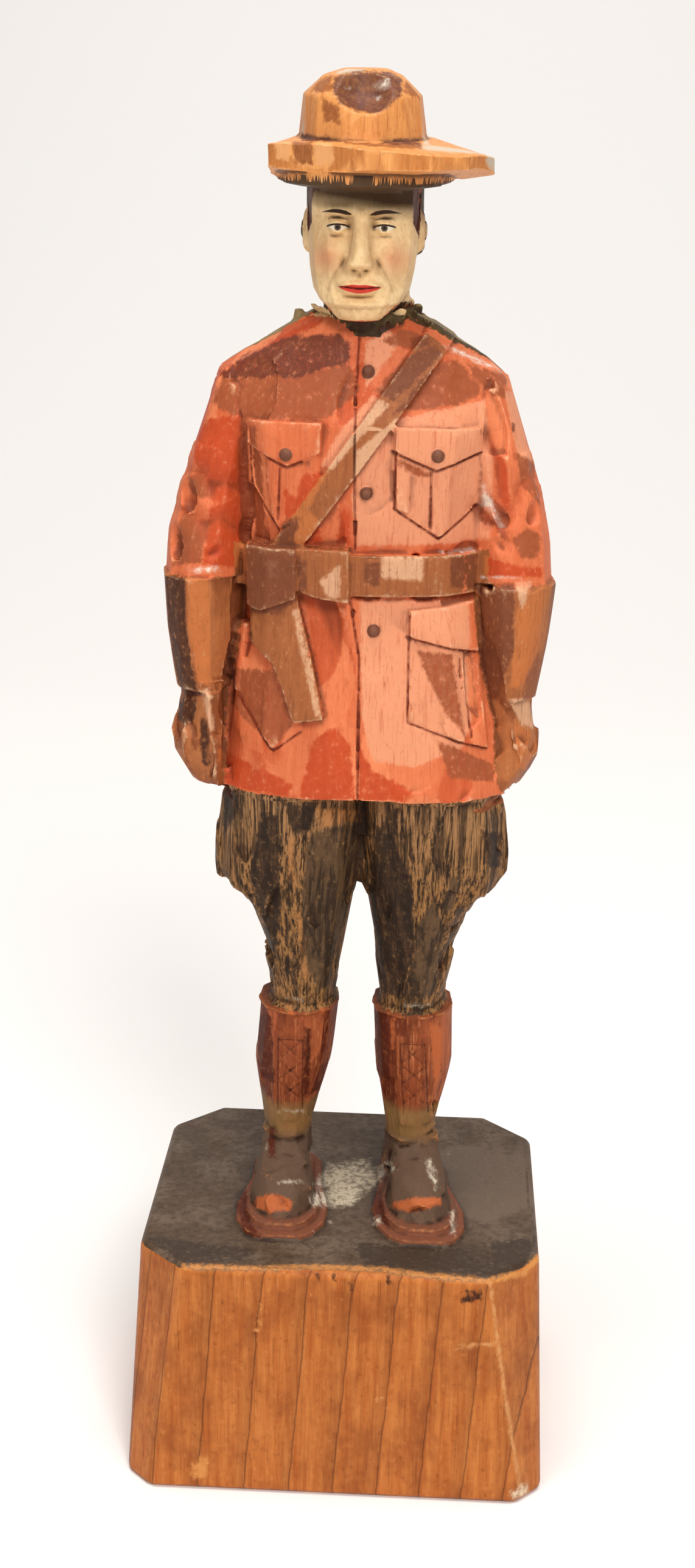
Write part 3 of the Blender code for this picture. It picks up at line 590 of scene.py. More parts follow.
# The tunic with its sleeves: the widest part of the billet, cut in flats, its pockets, belt and
# holster raised from it and its front edge scored with a knife, then painted brick red in oils.
TUNIC = [
    (40.6, 1.2, 12.8, -8.1, 7.6), (45.5, 0.9, 12.1, -7.9, 7.5), (52.0, 0.6, 10.9, -7.2, 7.0),
    (58.0, 0.4, 9.9, -6.5, 6.4), (62.0, 0.3, 9.8, -6.6, 6.5), (67.5, 0.2, 10.3, -7.3, 6.9),
    (72.6, 0.1, 11.2, -7.3, 7.0), (76.3, 0.0, 12.4, -5.6, 6.0), (78.6, 0.0, 8.2, -4.4, 5.2),
    (81.0, 0.1, 4.2, -3.0, 4.4),
]
TUNIC_POWER = 2.6
COAT_TOP, CUFF, SLEEVE_INSIDE = 81.4, 59.3, 10.3
SEAMS = [
    [(-0.2, 79.4), (-0.35, 75.0), (-0.1, 62.2)], [(-0.4, 57.7), (0.45, 53.0), (0.6, 41.0)],
    [(-6.4, 68.7), (-6.6, 64.4)], [(6.0, 68.7), (6.1, 64.0)], [(9.3, 53.0), (10.2, 46.2)],
    [(-9.35, 70.3), (-5.8, 68.78), (-4.6, 69.35)], [(2.75, 70.4), (6.4, 68.78), (10.1, 70.1)],
    [(4.35, 54.9), (10.5, 53.2)], [(3.0, 72.3), (3.05, 65.6), (6.8, 63.05), (9.9, 65.5)],
    [(-9.2, 71.5), (-9.15, 66.9), (-6.5, 63.55), (-5.6, 64.1)], [(4.55, 57.0), (4.65, 47.7), (11.5, 44.9)],
    [(-10.5, 53.0), (-10.5, 49.2), (-6.8, 44.65), (-4.3, 46.6)],
]
CREASES = [
    [(312, 772), (330, 776), (344, 794), (347, 812)],
    [(298, 836), (307, 832), (322, 849), (337, 866), (338, 882)], [(355, 796), (370, 793), (386, 800)],
    [(342, 858), (365, 852), (390, 868)], [(394, 707), (400, 760), (402, 812), (404, 877)],
    [(806, 713), (814, 741), (819, 802), (822, 817)], [(871, 784), (855, 800), (842, 835), (834, 848)],
    [(801, 822), (812, 826), (828, 840), (830, 852)], [(786, 838), (796, 848), (802, 862)],
    [(809, 860), (826, 870), (834, 890)],
]
COAT_MARKS = {
    "glow": [
        [(491, 1306), (516, 1216), (551, 1195), (576, 1225), (583, 1318), (495, 1318)],
        [(589, 1225), (615, 1268), (679, 1302), (660, 1318), (589, 1318)],
        [(345, 835), (397, 813), (401, 877), (397, 933), (333, 929), (337, 890)],
        [(330, 690), (392, 680), (402, 812), (352, 830), (318, 760), (322, 720)],
        [(358, 608), (440, 560), (525, 518), (530, 528), (446, 570), (362, 618)],
        [(812, 728), (832, 760), (840, 842), (826, 840), (812, 770)],
        [(795, 912), (850, 930), (892, 932), (890, 948), (795, 948)],
        [(466, 800), (520, 850), (530, 895), (470, 895)], [(560, 840), (576, 840), (576, 895), (552, 895)],
        [(360, 1230), (480, 1290), (470, 1312), (370, 1290)],
        [(690, 770), (735, 790), (730, 860), (700, 850)],
    ],
    "faded": [
        [(586, 742), (648, 690), (800, 655), (812, 760), (804, 885), (720, 895), (586, 897), (578, 822)],
        [(590, 985), (770, 985), (778, 1180), (760, 1230), (680, 1262), (610, 1250), (594, 1180)],
        [(600, 560), (640, 540), (660, 560), (600, 640)], [(830, 640), (850, 640), (880, 780), (860, 800)],
    ],
    "shade": [
        [
            (362, 617), (452, 612), (525, 606), (574, 597), (592, 640), (560, 668), (533, 689), (405, 689),
            (371, 679), (346, 660),
        ],
        [(628, 561), (657, 536), (687, 544), (713, 565), (683, 572), (653, 570)],
        [
            (692, 621), (726, 595), (751, 591), (773, 608), (798, 630), (786, 651), (756, 664), (709, 672),
            (666, 674), (645, 681), (670, 651),
        ],
        [(769, 595), (838, 612), (833, 655), (811, 647), (790, 625)],
        [(842, 740), (880, 760), (888, 830), (862, 800)],
        [(297, 838), (307, 834), (337, 868), (338, 884), (330, 925), (285, 928)],
        [(842, 885), (868, 868), (890, 880), (884, 915), (860, 920), (845, 900)],
        [(307, 780), (330, 778), (345, 800), (344, 816), (328, 818), (311, 808)],
        [(384, 1097), (448, 1101), (482, 1191), (448, 1231), (380, 1156)],
        [(683, 1067), (743, 1075), (764, 1208), (730, 1170), (705, 1120)],
        [(717, 1216), (811, 1255), (811, 1285), (739, 1280)],
        [(653, 752), (713, 782), (687, 784), (653, 766)],
        # Painted shade in the gap between the left sleeve and the body.
        [(408, 700), (420, 700), (430, 860), (452, 895), (410, 880)],
    ],
    "deep": [
        [(801, 822), (812, 822), (828, 838), (830, 854), (815, 843)],
        [(785, 836), (794, 838), (803, 858), (799, 866), (786, 856)],
        [(809, 860), (833, 872), (835, 892), (822, 886)],
        [
            (360, 608), (401, 580), (482, 550), (559, 548), (576, 565), (574, 595), (525, 608), (499, 617),
            (469, 623), (452, 612), (422, 617), (362, 619),
        ],
        [(842, 694), (851, 696), (850, 711), (843, 709)],
    ],
    "dust": [
        [(787, 834), (790, 797), (798, 792), (801, 812), (812, 832), (832, 866), (822, 862), (800, 844)],
        [(307, 931), (362, 927), (362, 940), (310, 944)], [(790, 945), (858, 946), (858, 952), (790, 952)],
        [(721, 905), (781, 897), (781, 908), (721, 911)],
        [(714, 563), (760, 572), (833, 606), (828, 611), (750, 583)],
    ],
}
on_coat = (z > HEM - 0.3) & (z < COAT_TOP)
tunic_gap = beyond(TUNIC, TUNIC_POWER)
sleeves = on_coat & (np.abs(x) > SLEEVE_INSIDE) & (z > CUFF) & ((z > 70) | (y > -0.5))
whittle(sleeves, long=7.0, wide=2.8, depth=0.15, seed=8)
whittle(on_coat & (tunic_gap < 0.2) & (y > 0), long=9.0, wide=3.6, depth=0.14, seed=9)
whittle(on_coat & (tunic_gap < 0.15) & (y < 0) & (np.abs(x) < 11), long=7.0, wide=4.4, depth=0.04, seed=10)
normals = facing()
# Sleeve creases, each with painted shade noted along it.
for points in CREASES:
    crease(points)
for points in SEAMS:
    score(points)
mark(COAT_MARKS)


# The leather, all of it carved in one with the tunic and stained brown: a belt with a square
# buckle, a strap from the left shoulder, a holster under its flap, and flared gauntlets.
BELT, BELT_MIDDLE, BELT_HALF = (58.2, 61.95), 0.3, 10.7
BUCKLE = [(-4.85, 62.2), (-0.55, 62.2), (-0.5, 57.8), (-3.6, 58.2), (-4.85, 58.7)]
FLAP = [(-9.3, 62.1), (-4.95, 62.2), (-4.95, 58.0), (-8.2, 56.7), (-9.2, 57.0)]
HOLSTER = [
    (-8.9, 58.0), (-5.0, 58.6), (-3.5, 52.9), (-2.4, 48.0), (-5.0, 47.5), (-6.0, 50.3), (-6.9, 52.4),
    (-8.9, 53.9),
]
STRAP_START, STRAP_END = np.array((-6.7, 61.0)), np.array((8.2, 82.0))
STRAP_WIDTH, STRAP_LOW = 2.25, 61.5
GAUNTLET = [
    (59.0, 13.35, 3.75, -5.7, 4.9), (54.7, 13.3, 3.5, -5.5, 4.6), (50.9, 13.3, 2.95, -5.1, 3.9),
    (47.4, 13.3, 2.1, -4.5, 2.9),
]
HAND = [
    (48.4, 13.3, 1.9, -4.2, 2.6), (45.6, 13.7, 2.6, -4.9, 3.0), (43.0, 13.5, 2.5, -5.0, 2.8),
    (41.0, 12.6, 1.9, -4.4, 1.8), (40.0, 12.0, 1.1, -3.6, 0.8),
]
THUMB = [(50.0, 12.6, 1.4, -5.2, -2.4), (44.4, 12.1, 1.05, -5.7, -2.8), (40.6, 11.75, 0.75, -5.6, -3.4)]
LEATHER_MARKS = {
    "shade": [
        [(666, 587), (717, 565), (726, 582), (670, 638), (645, 659), (615, 642)],
        [(405, 890), (486, 892), (488, 985), (455, 1012), (405, 1005)],
        [(600, 912), (624, 912), (624, 962), (600, 962)], [(740, 912), (784, 910), (784, 968), (740, 965)],
        [(786, 958), (845, 958), (845, 1070), (812, 1150), (790, 1100)],
        [(470, 850), (496, 850), (480, 895), (452, 895)], [(488, 920), (504, 920), (504, 970), (490, 975)],
    ],
    "deep": [
        [(265, 945), (302, 948), (302, 1020), (325, 1140), (300, 1150), (271, 1060)],
        [(283, 1145), (315, 1150), (318, 1172), (300, 1192), (280, 1180)],
        [(405, 1000), (412, 1000), (414, 1060), (405, 1060)],
        [(328, 1180), (336, 1185), (340, 1262), (330, 1255)],
    ],
    "glow": [
        [(305, 950), (345, 945), (348, 1130), (325, 1120), (308, 1030)],
        [(850, 1000), (895, 960), (890, 1060), (860, 1130), (838, 1130)],
        [(846, 1180), (880, 1200), (870, 1270), (850, 1260)],
        [(496, 780), (540, 775), (500, 850), (478, 860)],
    ],
    "faded": [
        [(560, 705), (612, 650), (640, 665), (590, 722), (545, 772), (525, 765)],
        [(626, 914), (695, 916), (695, 955), (626, 950)], [(525, 955), (559, 926), (559, 980), (540, 985)],
        [(845, 955), (875, 955), (858, 1002)], [(480, 1002), (488, 1002), (528, 1175), (518, 1178)],
        [(835, 1148), (875, 1150), (885, 1200), (862, 1192)],
        [(324, 1135), (345, 1132), (356, 1200), (344, 1204)],
        [(438, 920), (456, 920), (458, 948), (442, 950)],
    ],
}
GAUNTLET_TOP, FINGERTIPS = 59.12, 39.0
WRIST = 49
gauntlet_gap = np.full(len(skin), 99.0)
for side, forms in ((-1, (GAUNTLET, HAND, THUMB)), (1, (GAUNTLET, HAND))):
    for cuts in forms:
        gauntlet_gap = np.minimum(gauntlet_gap, beyond(cuts, 2.35, side))
gauntlet = np.where(z > FINGERTIPS, np.minimum(tunic_gap - gauntlet_gap, GAUNTLET_TOP - z), -5)
run = (STRAP_END - STRAP_START) / np.linalg.norm(STRAP_END - STRAP_START)
off_line = np.abs((x - STRAP_START[0]) * run[1] - (z - STRAP_START[1]) * run[0])
proud_of_coat = tunic_gap * 4 - 1.2
strap = inside(STRAP_WIDTH / 2 + 0.08 - off_line, z - STRAP_LOW, proud_of_coat)
belt = inside(z - BELT[0], BELT[1] - z, BELT_HALF - np.abs(x - BELT_MIDDLE), proud_of_coat)
leather = np.maximum(strap, belt)
for outline in (BUCKLE, FLAP, HOLSTER):
    leather = np.maximum(leather, np.where(y < 0, outline_gap(outline, x, z) + 0.06, -9))
marks["leather"] = np.maximum(leather, gauntlet) * MM
marks["gauntlet"] = gauntlet * MM
on_gauntlet = (gauntlet > 0.07) & (z > FINGERTIPS + 0.5)
whittle(on_gauntlet & (z > WRIST), long=9.0, wide=2.6, depth=0.16, seed=6)
whittle(on_gauntlet & (z < WRIST), long=4.0, wide=2.2, depth=0.16, seed=7, lean=0.08)
mark(LEATHER_MARKS)


# The collar, shoulder tabs, studs and buttons: small blocks left standing, painted near black and
# rubbed back to an olive gold on their edges. The buttons are brown.
COLLAR, COLLAR_BEHIND = (78.3, 81.42), (79.8, 82.0)
TAB = (3.8, 12.2, -1.0, 3.0)
TAB_PAINT = [
    [
        (672, 514), (692, 514), (740, 538), (800, 568), (834, 602), (806, 590), (755, 564), (705, 538),
        (680, 526),
    ],
]
STUDS = [(-5.5, 0.6), (4.4, 0.6)]
STUD_REACH = 0.85
BUTTONS = [(0.6, 76.6), (0.75, 66.9), (1.6, 55.4), (-5.9, 69.9), (6.5, 70.1)]
BUTTON_RADIUS = 0.56
in_ring = 4.7 - np.hypot(x - 0.4, (y - 0.1) * 0.95)
collar = np.where(tunic_gap > 0.05, inside(z - COLLAR[0], COLLAR[1] - z, in_ring, tunic_gap), -1)
behind = inside(z - COLLAR_BEHIND[0], COLLAR_BEHIND[1] - z, y - 1.5, in_ring)
collar = np.maximum(collar, behind)
tab = inside(np.abs(x) - TAB[0], TAB[1] - np.abs(x), y - TAB[2], TAB[3] - y)
tab = np.where((z > 72) & (z < 81) & (tunic_gap > 0.12), tab, -2)
stud = np.full(len(skin), -2.0)
for middle, depth in STUDS:
    stud = np.maximum(stud, np.where(z > 77.5, STUD_REACH - np.hypot(x - middle, y - depth), -2))
stud = np.where(tunic_gap > 0.25, stud, -2)
button = np.full(len(skin), -2.0)
for middle, height in BUTTONS:
    button = np.maximum(button, np.where(y < 0, BUTTON_RADIUS - np.hypot(x - middle, z - height), -2))
marks["collar"] = np.maximum(np.maximum(collar, tab), stud) * MM
mark({"collar": TAB_PAINT})
marks["buttons"] = button * MM
marks["tab"] = tab * MM
whittle(collar > 0.2, long=2.4, wide=2.0, depth=0.12, seed=12, lean=0.1)

# Oil paint on pine: satin, thin enough to show the fibres, each knife flat in a tone of its own, and
# rubbed to a pale orange on the arrises.
coat_oils, tree, grain = new_finish("brick_red_oil_paint_on_pine")
tone = cut_tone(tree, grain)
fibres = band(tree, grain["fibre"], 0.52, 0.75, 0.3)
red = overlay(tree, "#C65932", "#E68456", tone)
red = flats(tree, grain, red, glow="#BE4722", faded="#E3966F", shade="#9A5030", deep="#683424")
red = overlay(tree, red, "#B5472A", fibres)
red = speckled(tree, grain, red, "#A8492C", "#F0A078", 0.38)
# The fold tint is painted shade along the sleeve creases.
red = flats(tree, grain, red, fold="#B0502E", worn="#F0B288", line="#7E301B")
brown = overlay(tree, "#87492A", "#B46C3E", tone)
brown = flats(tree, grain, brown, glow="#C06E3B", faded="#D6A27C", shade="#78422A", deep="#432518")
brown = overlay(tree, brown, "#7A4529", fibres)
brown = speckled(tree, grain, brown, "#6B3A20", "#D89A68", 0.45)
brown = flats(tree, grain, brown, worn="#E0B48C", line="#4A2818")
black = overlay(tree, "#2C1A10", "#4A3A26", grain["fine"])
olive = band(tree, grain["broad"], 0.46, 0.6, 0.6)
black = flats(tree, grain, overlay(tree, black, "#6E5A34", olive), worn="#B39A66")
tan = overlay(tree, "#6E5638", "#AC9468", grain["fine"])
black = overlay(tree, black, tan, where(tree, "tab", grain["ragged"], -0.1, 0.3))
colour = overlay(tree, red, brown, where(tree, "leather", grain["ragged"], -0.05, 0.05))
button_brown = overlay(tree, "#5E3628", "#8A5A44", grain["fine"])
colour = overlay(tree, colour, button_brown, where(tree, "buttons", None, -0.05, 0.05))
colour = overlay(tree, colour, black, where(tree, "collar", grain["ragged"], -0.05, 0.05))
colour = flats(tree, grain, colour, dust="#EFE4D2")
finish_shader(coat_oils, grain, grime_and_shade(tree, colour, "#45190E", 0.55), (0.4, 0.62), "fibre", 0.0001)


# The head: face, ears and short hair, nodded a little forward under the hat, painted flesh, rose
# and dark brown in oils. The face is a plain calm one on the usual proportions.
NOD, NOD_LEVEL = math.radians(4.0), 88.0
HEAD_MIDDLE = -0.2
HAIRLINE = ((84.2, 0.4), (86.6, -0.6), (88.4, -3.3), (92.8, -4.4))
NECK, HEAD_TOP, HEAD_REACH = 81.0, 91.6, 7.6
EAR, EAR_REACH = (4.7, 0.2, 87.4), (0.8, 1.35, 2.0)
EAR_BOWL, EAR_GROOVE, EAR_FROM = 0.62, 0.16, 4.3
above = z - NOD_LEVEL
head_x = x - HEAD_MIDDLE
head_y = y * math.cos(NOD) + above * math.sin(NOD)
head_z = NOD_LEVEL - y * math.sin(NOD) + above * math.cos(NOD)
on_head = (z > NECK) & (head_z < HEAD_TOP) & (np.hypot(x, y) < HEAD_REACH) & (marks["collar"] < 0)
off_ear = (np.column_stack((np.abs(head_x), head_y, head_z)) - EAR) / EAR_REACH
ears = 1 - np.sqrt(off_ear[:, 0] ** 2 + off_ear[:, 1] ** 2 + off_ear[:, 2] ** 2)
hair = np.minimum(head_y - np.interp(head_z, *zip(*HAIRLINE)), head_z - 83.9)
marks["hair"] = np.minimum(hair, -ears * 1.2) * MM
whittle(on_head & (marks["hair"] > 0.3), long=4.0, wide=1.8, depth=0.09, seed=13)


# The jaw widens below one level by a share that is full so far under it, and the chin rises so.
JAW_LEVEL, JAW_SPAN, JAW_SHARE = 86.5, 3.5, 0.12
CHIN_LEVEL, CHIN_SPAN, CHIN_LIFT = 83.2, 1.6, 0.5
jaw = np.clip((JAW_LEVEL - head_z) / JAW_SPAN, 0, 1) * on_head
skin[:, 0] += head_x * JAW_SHARE * jaw
skin[:, 2] += CHIN_LIFT * np.clip((CHIN_LEVEL - head_z) / CHIN_SPAN, 0, 1) * on_head


def swell(amount, middle_x, middle_z, reach_x, reach_z):
    """How far the face stands out, or in below nought, round one place and its mirror."""
    across_one = np.exp(-(((np.abs(head_x) - middle_x) / reach_x) ** 2))
    return amount * across_one * np.exp(-(((head_z - middle_z) / reach_z) ** 2))


# How far each form of the face stands out or, below nought, lies back, then its place across and up
# the head and its reach across and up.
FACE_FORMS = {
    "brow ridge": (0.42, 1.9, 89.55, 1.4, 0.42),
    "between the brows": (-0.3, 0.0, 89.0, 0.8, 0.6),
    "cheekbone": (0.45, 2.75, 86.6, 0.95, 0.7),
    "under the cheek": (-0.45, 2.6, 84.8, 0.75, 0.95),
    "chin": (0.4, 0.0, 81.95, 1.15, 0.55),
    "under the lip": (-0.32, 0.0, 82.75, 1.2, 0.3),
    "wing of the nose": (0.25, 0.85, 85.45, 0.32, 0.38),
    "nostril": (-0.34, 0.45, 85.05, 0.22, 0.16),
    "groove at the wing": (-0.2, 1.35, 85.3, 0.25, 0.6),
    "groove over the lip": (-0.2, 0.0, 84.6, 0.22, 0.4),
    "corner of the mouth": (-0.3, 1.85, 83.6, 0.32, 0.45),
    "upper lid": (0.2, 1.86, 88.62, 0.85, 0.2),
    "fold of the lid": (-0.16, 1.86, 88.98, 0.95, 0.13),
    "lower lid": (0.14, 1.86, 87.86, 0.8, 0.15),
    "under the eye": (-0.14, 1.86, 87.5, 0.95, 0.16),
    "inner eye": (-0.42, 0.95, 88.3, 0.38, 0.7),
    "socket": (-0.16, 2.0, 88.9, 1.1, 0.4),
}
SMILE_FOLD = [(1.25, 85.7), (1.75, 84.9), (2.2, 84.0), (2.35, 83.3)]
face_front = np.clip((-2.2 - head_y) / 1.5, 0, 1) * on_head
form = sum(swell(*shape) for shape in FACE_FORMS.values())
fold_share = np.clip(1 - line_gap(SMILE_FOLD, np.abs(head_x), head_z) / 0.45, 0, 1) ** 1.5
form -= 0.26 * fold_share
MOUTH_Z, MOUTH_HALF = 83.66, 1.6
mouth_gap = np.abs(head_z - MOUTH_Z + 0.04 * np.cos(head_x * 2.4))
form -= 0.18 * np.exp(-((mouth_gap / 0.1) ** 2)) * (np.abs(head_x) < MOUTH_HALF)
skin -= (form * face_front)[:, None] * np.array((0, math.cos(NOD), math.sin(NOD)))
ear_ring = np.hypot((head_y - 0.2) / 0.9, (head_z - 87.5) / 1.5) - EAR_BOWL
ear_groove = np.exp(-((ear_ring / EAR_GROOVE) ** 2)) * (ears > -0.25)
skin[:, 0] -= np.sign(head_x) * EAR_GROOVE * ear_groove * (np.abs(head_x) > EAR_FROM)

EYE_X, EYE_Z, EYE_HALF, IRIS_RADIUS, PUPIL_RADIUS = 1.86, 88.2, 0.86, 0.27, 0.13
eye_x = np.abs(head_x) - EYE_X
eye_z = head_z - EYE_Z
arc = 1 - (eye_x / EYE_HALF) ** 2
lid_top, lid_low = 0.25 * arc, -0.2 * arc
aside = np.where(face_front > 0.2, 0.0, -3.0)
opening = np.where(arc > 0, np.minimum(lid_top - eye_z, eye_z - lid_low), -0.3)
marks["eye_white"] = opening + aside
marks["iris"] = np.minimum(IRIS_RADIUS - np.hypot(eye_x, eye_z - 0.03), opening + 0.02) + aside
marks["pupil"] = np.minimum(PUPIL_RADIUS - np.hypot(eye_x, eye_z - 0.04), opening + 0.02) + aside
lash = 0.075 - np.abs(eye_z - lid_top - 0.03)
lid_crease = np.where(np.abs(eye_x) < 0.85, 0.035 - np.abs(eye_z - 0.6 - 0.1 * arc), -0.3)
marks["lash"] = np.where(arc > -0.12, np.maximum(lash, lid_crease), -0.3) + aside
brow_z = 89.5 - 0.16 * (eye_x - 0.15) ** 2
brow_half = np.interp(eye_x, (-1.1, -0.7, 0.4, 1.35), (0.05, 0.18, 0.15, 0.02))
off_brow = np.where((eye_x > -1.15) & (eye_x < 1.4), brow_half - np.abs(head_z - brow_z), -0.3)
marks["brow"] = off_brow + aside
half_mouth = 1.0 - (np.abs(head_x) / MOUTH_HALF) ** 1.6
upper = MOUTH_Z + 0.34 * half_mouth - 0.08 * np.exp(-((head_x / 0.3) ** 2))
lower = MOUTH_Z - 0.03 - 0.38 * half_mouth
lips = np.where(np.abs(head_x) < MOUTH_HALF, np.minimum(upper - head_z, head_z - lower), -0.3)
marks["lips"] = lips + aside
marks["mouth_line"] = np.where(np.abs(head_x) < MOUTH_HALF - 0.1, 0.055 - mouth_gap, -0.3) + aside
# Painted shadow of the hat's brim: full at the top of the forehead, fading out towards the brows.
marks["brim_shadow"] = np.clip((head_z - 89.0 + 0.12 * head_x) / 1.5, 0, 1)
marks["cheeks"] = swell(1.0, 2.75, 85.8, 1.1, 1.2) * (face_front > 0)
FACE_SHADOWS = {
    "under the nose": (1.0, 0.42, 85.0, 0.3, 0.2),
    "under the lip": (0.6, 0.0, 82.8, 1.0, 0.25),
    "beside the bridge": (0.8, 0.95, 88.5, 0.3, 0.75),
    "beside the wing": (0.6, 1.35, 85.2, 0.2, 0.6),
    "over the lid": (0.55, 1.86, 88.95, 0.9, 0.25),
    "under the eye": (0.4, 1.86, 87.5, 0.8, 0.15),
    "beside the nose": (0.45, 0.85, 86.8, 0.25, 1.2),
    "under the cheek": (0.3, 3.1, 84.4, 0.8, 1.0),
}
painted_shadow = sum(swell(*shape) for shape in FACE_SHADOWS.values())
painted_shadow += 0.5 * fold_share * (face_front > 0) + 0.8 * ear_groove
marks["face_shadow"] = on_head * painted_shadow

# Flesh oil paint on pine: yellowish cream, thin and brushed, with rose on the cheeks, red lips and
# brown shadow lines laid on with a fine brush, and the brim's shadow painted dark over the forehead.
# The hair is a dark red-brown.
face_oils, tree, grain = new_finish("flesh_oil_paint_on_pine")
colour = overlay(tree, "#DDB27A", "#F8D8A4", band(tree, grain["fine"], 0.3, 0.6))
colour = veil(tree, colour, "#CB955C", grain["broad"], 0.48, 0.7, 0.4)
cheek = node(tree, "Attribute", attribute_name="cheeks")["Fac"]
rose = band(tree, grain["fine"], 0.3, 0.65, 0.8, 0.35)
colour = overlay(tree, colour, "#D87F56", node(tree, "Math", {0: cheek, 1: rose}, operation="MULTIPLY")[0])
shadow = node(tree, "Attribute", attribute_name="face_shadow")["Fac"]
shadow = node(tree, "Math", {0: shadow, 1: 0.68}, operation="MULTIPLY", use_clamp=True)[0]
colour = overlay(tree, colour, "#7A4C28", shadow)
colour = flats(tree, grain, colour, worn="#F6DDB2")
colour = speckled(tree, grain, colour, "#B98652", "#FBE3B8", 0.3)
# The brim's painted shadow, laid dark brown over the forehead.
brim_shadow_amount = node(tree, "Attribute", attribute_name="brim_shadow")["Fac"]
brim_shadow_amount = node(tree, "Math", {0: brim_shadow_amount, 1: 0.95}, operation="MULTIPLY")[0]
colour = overlay(tree, colour, "#3C2212", brim_shadow_amount)
for name, tint in (
    ("lips", "#CE4232"), ("mouth_line", "#5A1A16"), ("eye_white", "#E6D8BE"), ("iris", "#57483A"),
    ("pupil", "#1A1310"), ("lash", "#2E1C14"), ("brow", "#2E1C15"),
):
    colour = overlay(tree, colour, tint, where(tree, name, None, -0.03, 0.03))
locks = overlay(tree, "#3A1A12", "#6E3B2A", grain["fibre"])
colour = overlay(tree, colour, locks, where(tree, "hair", grain["ragged"]))
finish_shader(face_oils, grain, grime_and_shade(tree, colour), (0.38, 0.6), "fine", 0.00006)


# The hat: a wide-brimmed felt hat, its crown pinched by four gouged dents and its brim trimmed in
# straight cuts, stained amber with purple-brown in the dents and along the band.
BRIM_TOP = 93.2
BRIM_LIFT = (0.95, 1.2)
UNDERSIDE, UPPERSIDE = ((6, 10.2), (91.2, 91.9)), ((5.8, 10.2), (94.7, BRIM_TOP))
HAT_MARKS = {
    "deep": [
        [
            (546, 153), (558, 170), (587, 183), (611, 187), (632, 182), (650, 166), (661, 155), (662, 129),
            (640, 118), (587, 116), (548, 126),
        ],
        [(494, 219), (520, 222), (569, 232), (571, 241), (494, 240)],
        [(627, 236), (650, 227), (690, 228), (694, 247), (627, 247)],
    ],
    "shade": [
        [(511, 150), (520, 135), (545, 123), (548, 150), (530, 153)],
        [(527, 158), (556, 176), (560, 205), (534, 200)],
        [(664, 152), (666, 132), (680, 132), (697, 158), (690, 162)],
        [(480, 243), (513, 243), (513, 290), (480, 287)],
        [(569, 240), (640, 246), (693, 243), (693, 258), (613, 258), (563, 250)],
    ],
    "glow": [
        [(516, 246), (546, 244), (546, 292), (516, 292)], [(450, 246), (476, 246), (474, 284), (452, 282)],
    ],
    "faded": [
        [(693, 242), (750, 249), (816, 258), (800, 264), (740, 262), (693, 258)],
        [(693, 164), (700, 160), (706, 243), (695, 240)], [(492, 160), (500, 155), (501, 222), (490, 222)],
        [(556, 110), (598, 110), (598, 118), (552, 122)], [(800, 262), (820, 257), (818, 288), (801, 289)],
    ],
    # Painted glints: small pale highlights on the crown's dome, laid on with the dust marks.
    "dust": [
        [(607, 149), (612, 133), (640, 128), (643, 145), (628, 150)],
        [(613, 159), (628, 157), (630, 165), (616, 167)], [(564, 142), (577, 141), (579, 147), (566, 148)],
    ],
}
HEAD_HALF, HEAD_DEPTH, UNDER_BRIM, BRIM_GAP = 5.3, 6.6, 90.2, 1.8
CROWN_REACH, RIM_REACH = 6.6, 8.0
outside_head = np.hypot(head_x / HEAD_HALF, head_y / HEAD_DEPTH) - 1
hat = np.maximum(head_z - HEAD_TOP, np.minimum(outside_head * 5 - BRIM_GAP, head_z - UNDER_BRIM))
marks["hat"] = hat * MM
crown = (hat > 0) & (head_z > BRIM_TOP) & (np.hypot(x, y) < CROWN_REACH)
from_middle = np.hypot(x + 0.2, head_y)
rim_share = np.clip((from_middle - 6.3) / 3.7, 0, 1)
front_share = np.clip((2 - head_y) / 8, 0, 1)
under, over = np.interp(from_middle, *UNDERSIDE), np.interp(from_middle, *UPPERSIDE)
level = np.clip((head_z - under) / (over - under), 0, 1)
upper_lift = BRIM_LIFT[1] * (1 - 0.5 * np.clip(x / 7, 0, 1)) * rim_share
thicker = front_share**2 * (3 - 2 * front_share) * (BRIM_LIFT[0] * (1 - level) + upper_lift * level)
skin[:, 2] += thicker * (hat > 0)
rim = (hat > 0) & ~crown & (np.hypot(x, y) > RIM_REACH) & (np.abs(normals[:, 2]) < FACES_UP)
whittle(rim, long=3.0, wide=2.8, depth=0.10, seed=15)
mark(HAT_MARKS)

# Amber stain on pine: glossy where it was varnished, vertical fibres showing through, grey-brown
# where the hat was handled and purple-brown in the hollows, with small pale glints painted on the dome.
hat_stain, tree, grain = new_finish("amber_stained_pine")
colour = overlay(tree, "#C67B40", "#EFA661", cut_tone(tree, grain, 0.7, 1.35))
colour = veil(tree, colour, "#A9632F", grain["fibre"], 0.5, 0.75, 0.45)
colour = speckled(tree, grain, colour, "#9A5526", "#F6BE84", 0.4)
# The dust tint here also lays the painted glints on the crown.
colour = flats(
    tree, grain, colour,
    glow="#E8A56A", faded="#C9B79E", shade="#98582F", deep="#693D2E", worn="#E6B680", dust="#E6D9C6",
)
finish_shader(hat_stain, grain, grime_and_shade(tree, colour, "#38201A"), (0.32, 0.55), "fibre", 0.0001)


# Wear, dirt and painted shade: the high arrises are rubbed back towards the wood, and the hollows are
# darkened with dirt and painted shade. Both are read from how far each point stands out from the skin round
# it.
TRIANGLES = 195_000
EVENING_ROUNDS, FULLY_PROUD = 10, 0.10
EDGE_KEPT, KEPT_STEPS = 2.5, 10
SHARP_FROM = 32


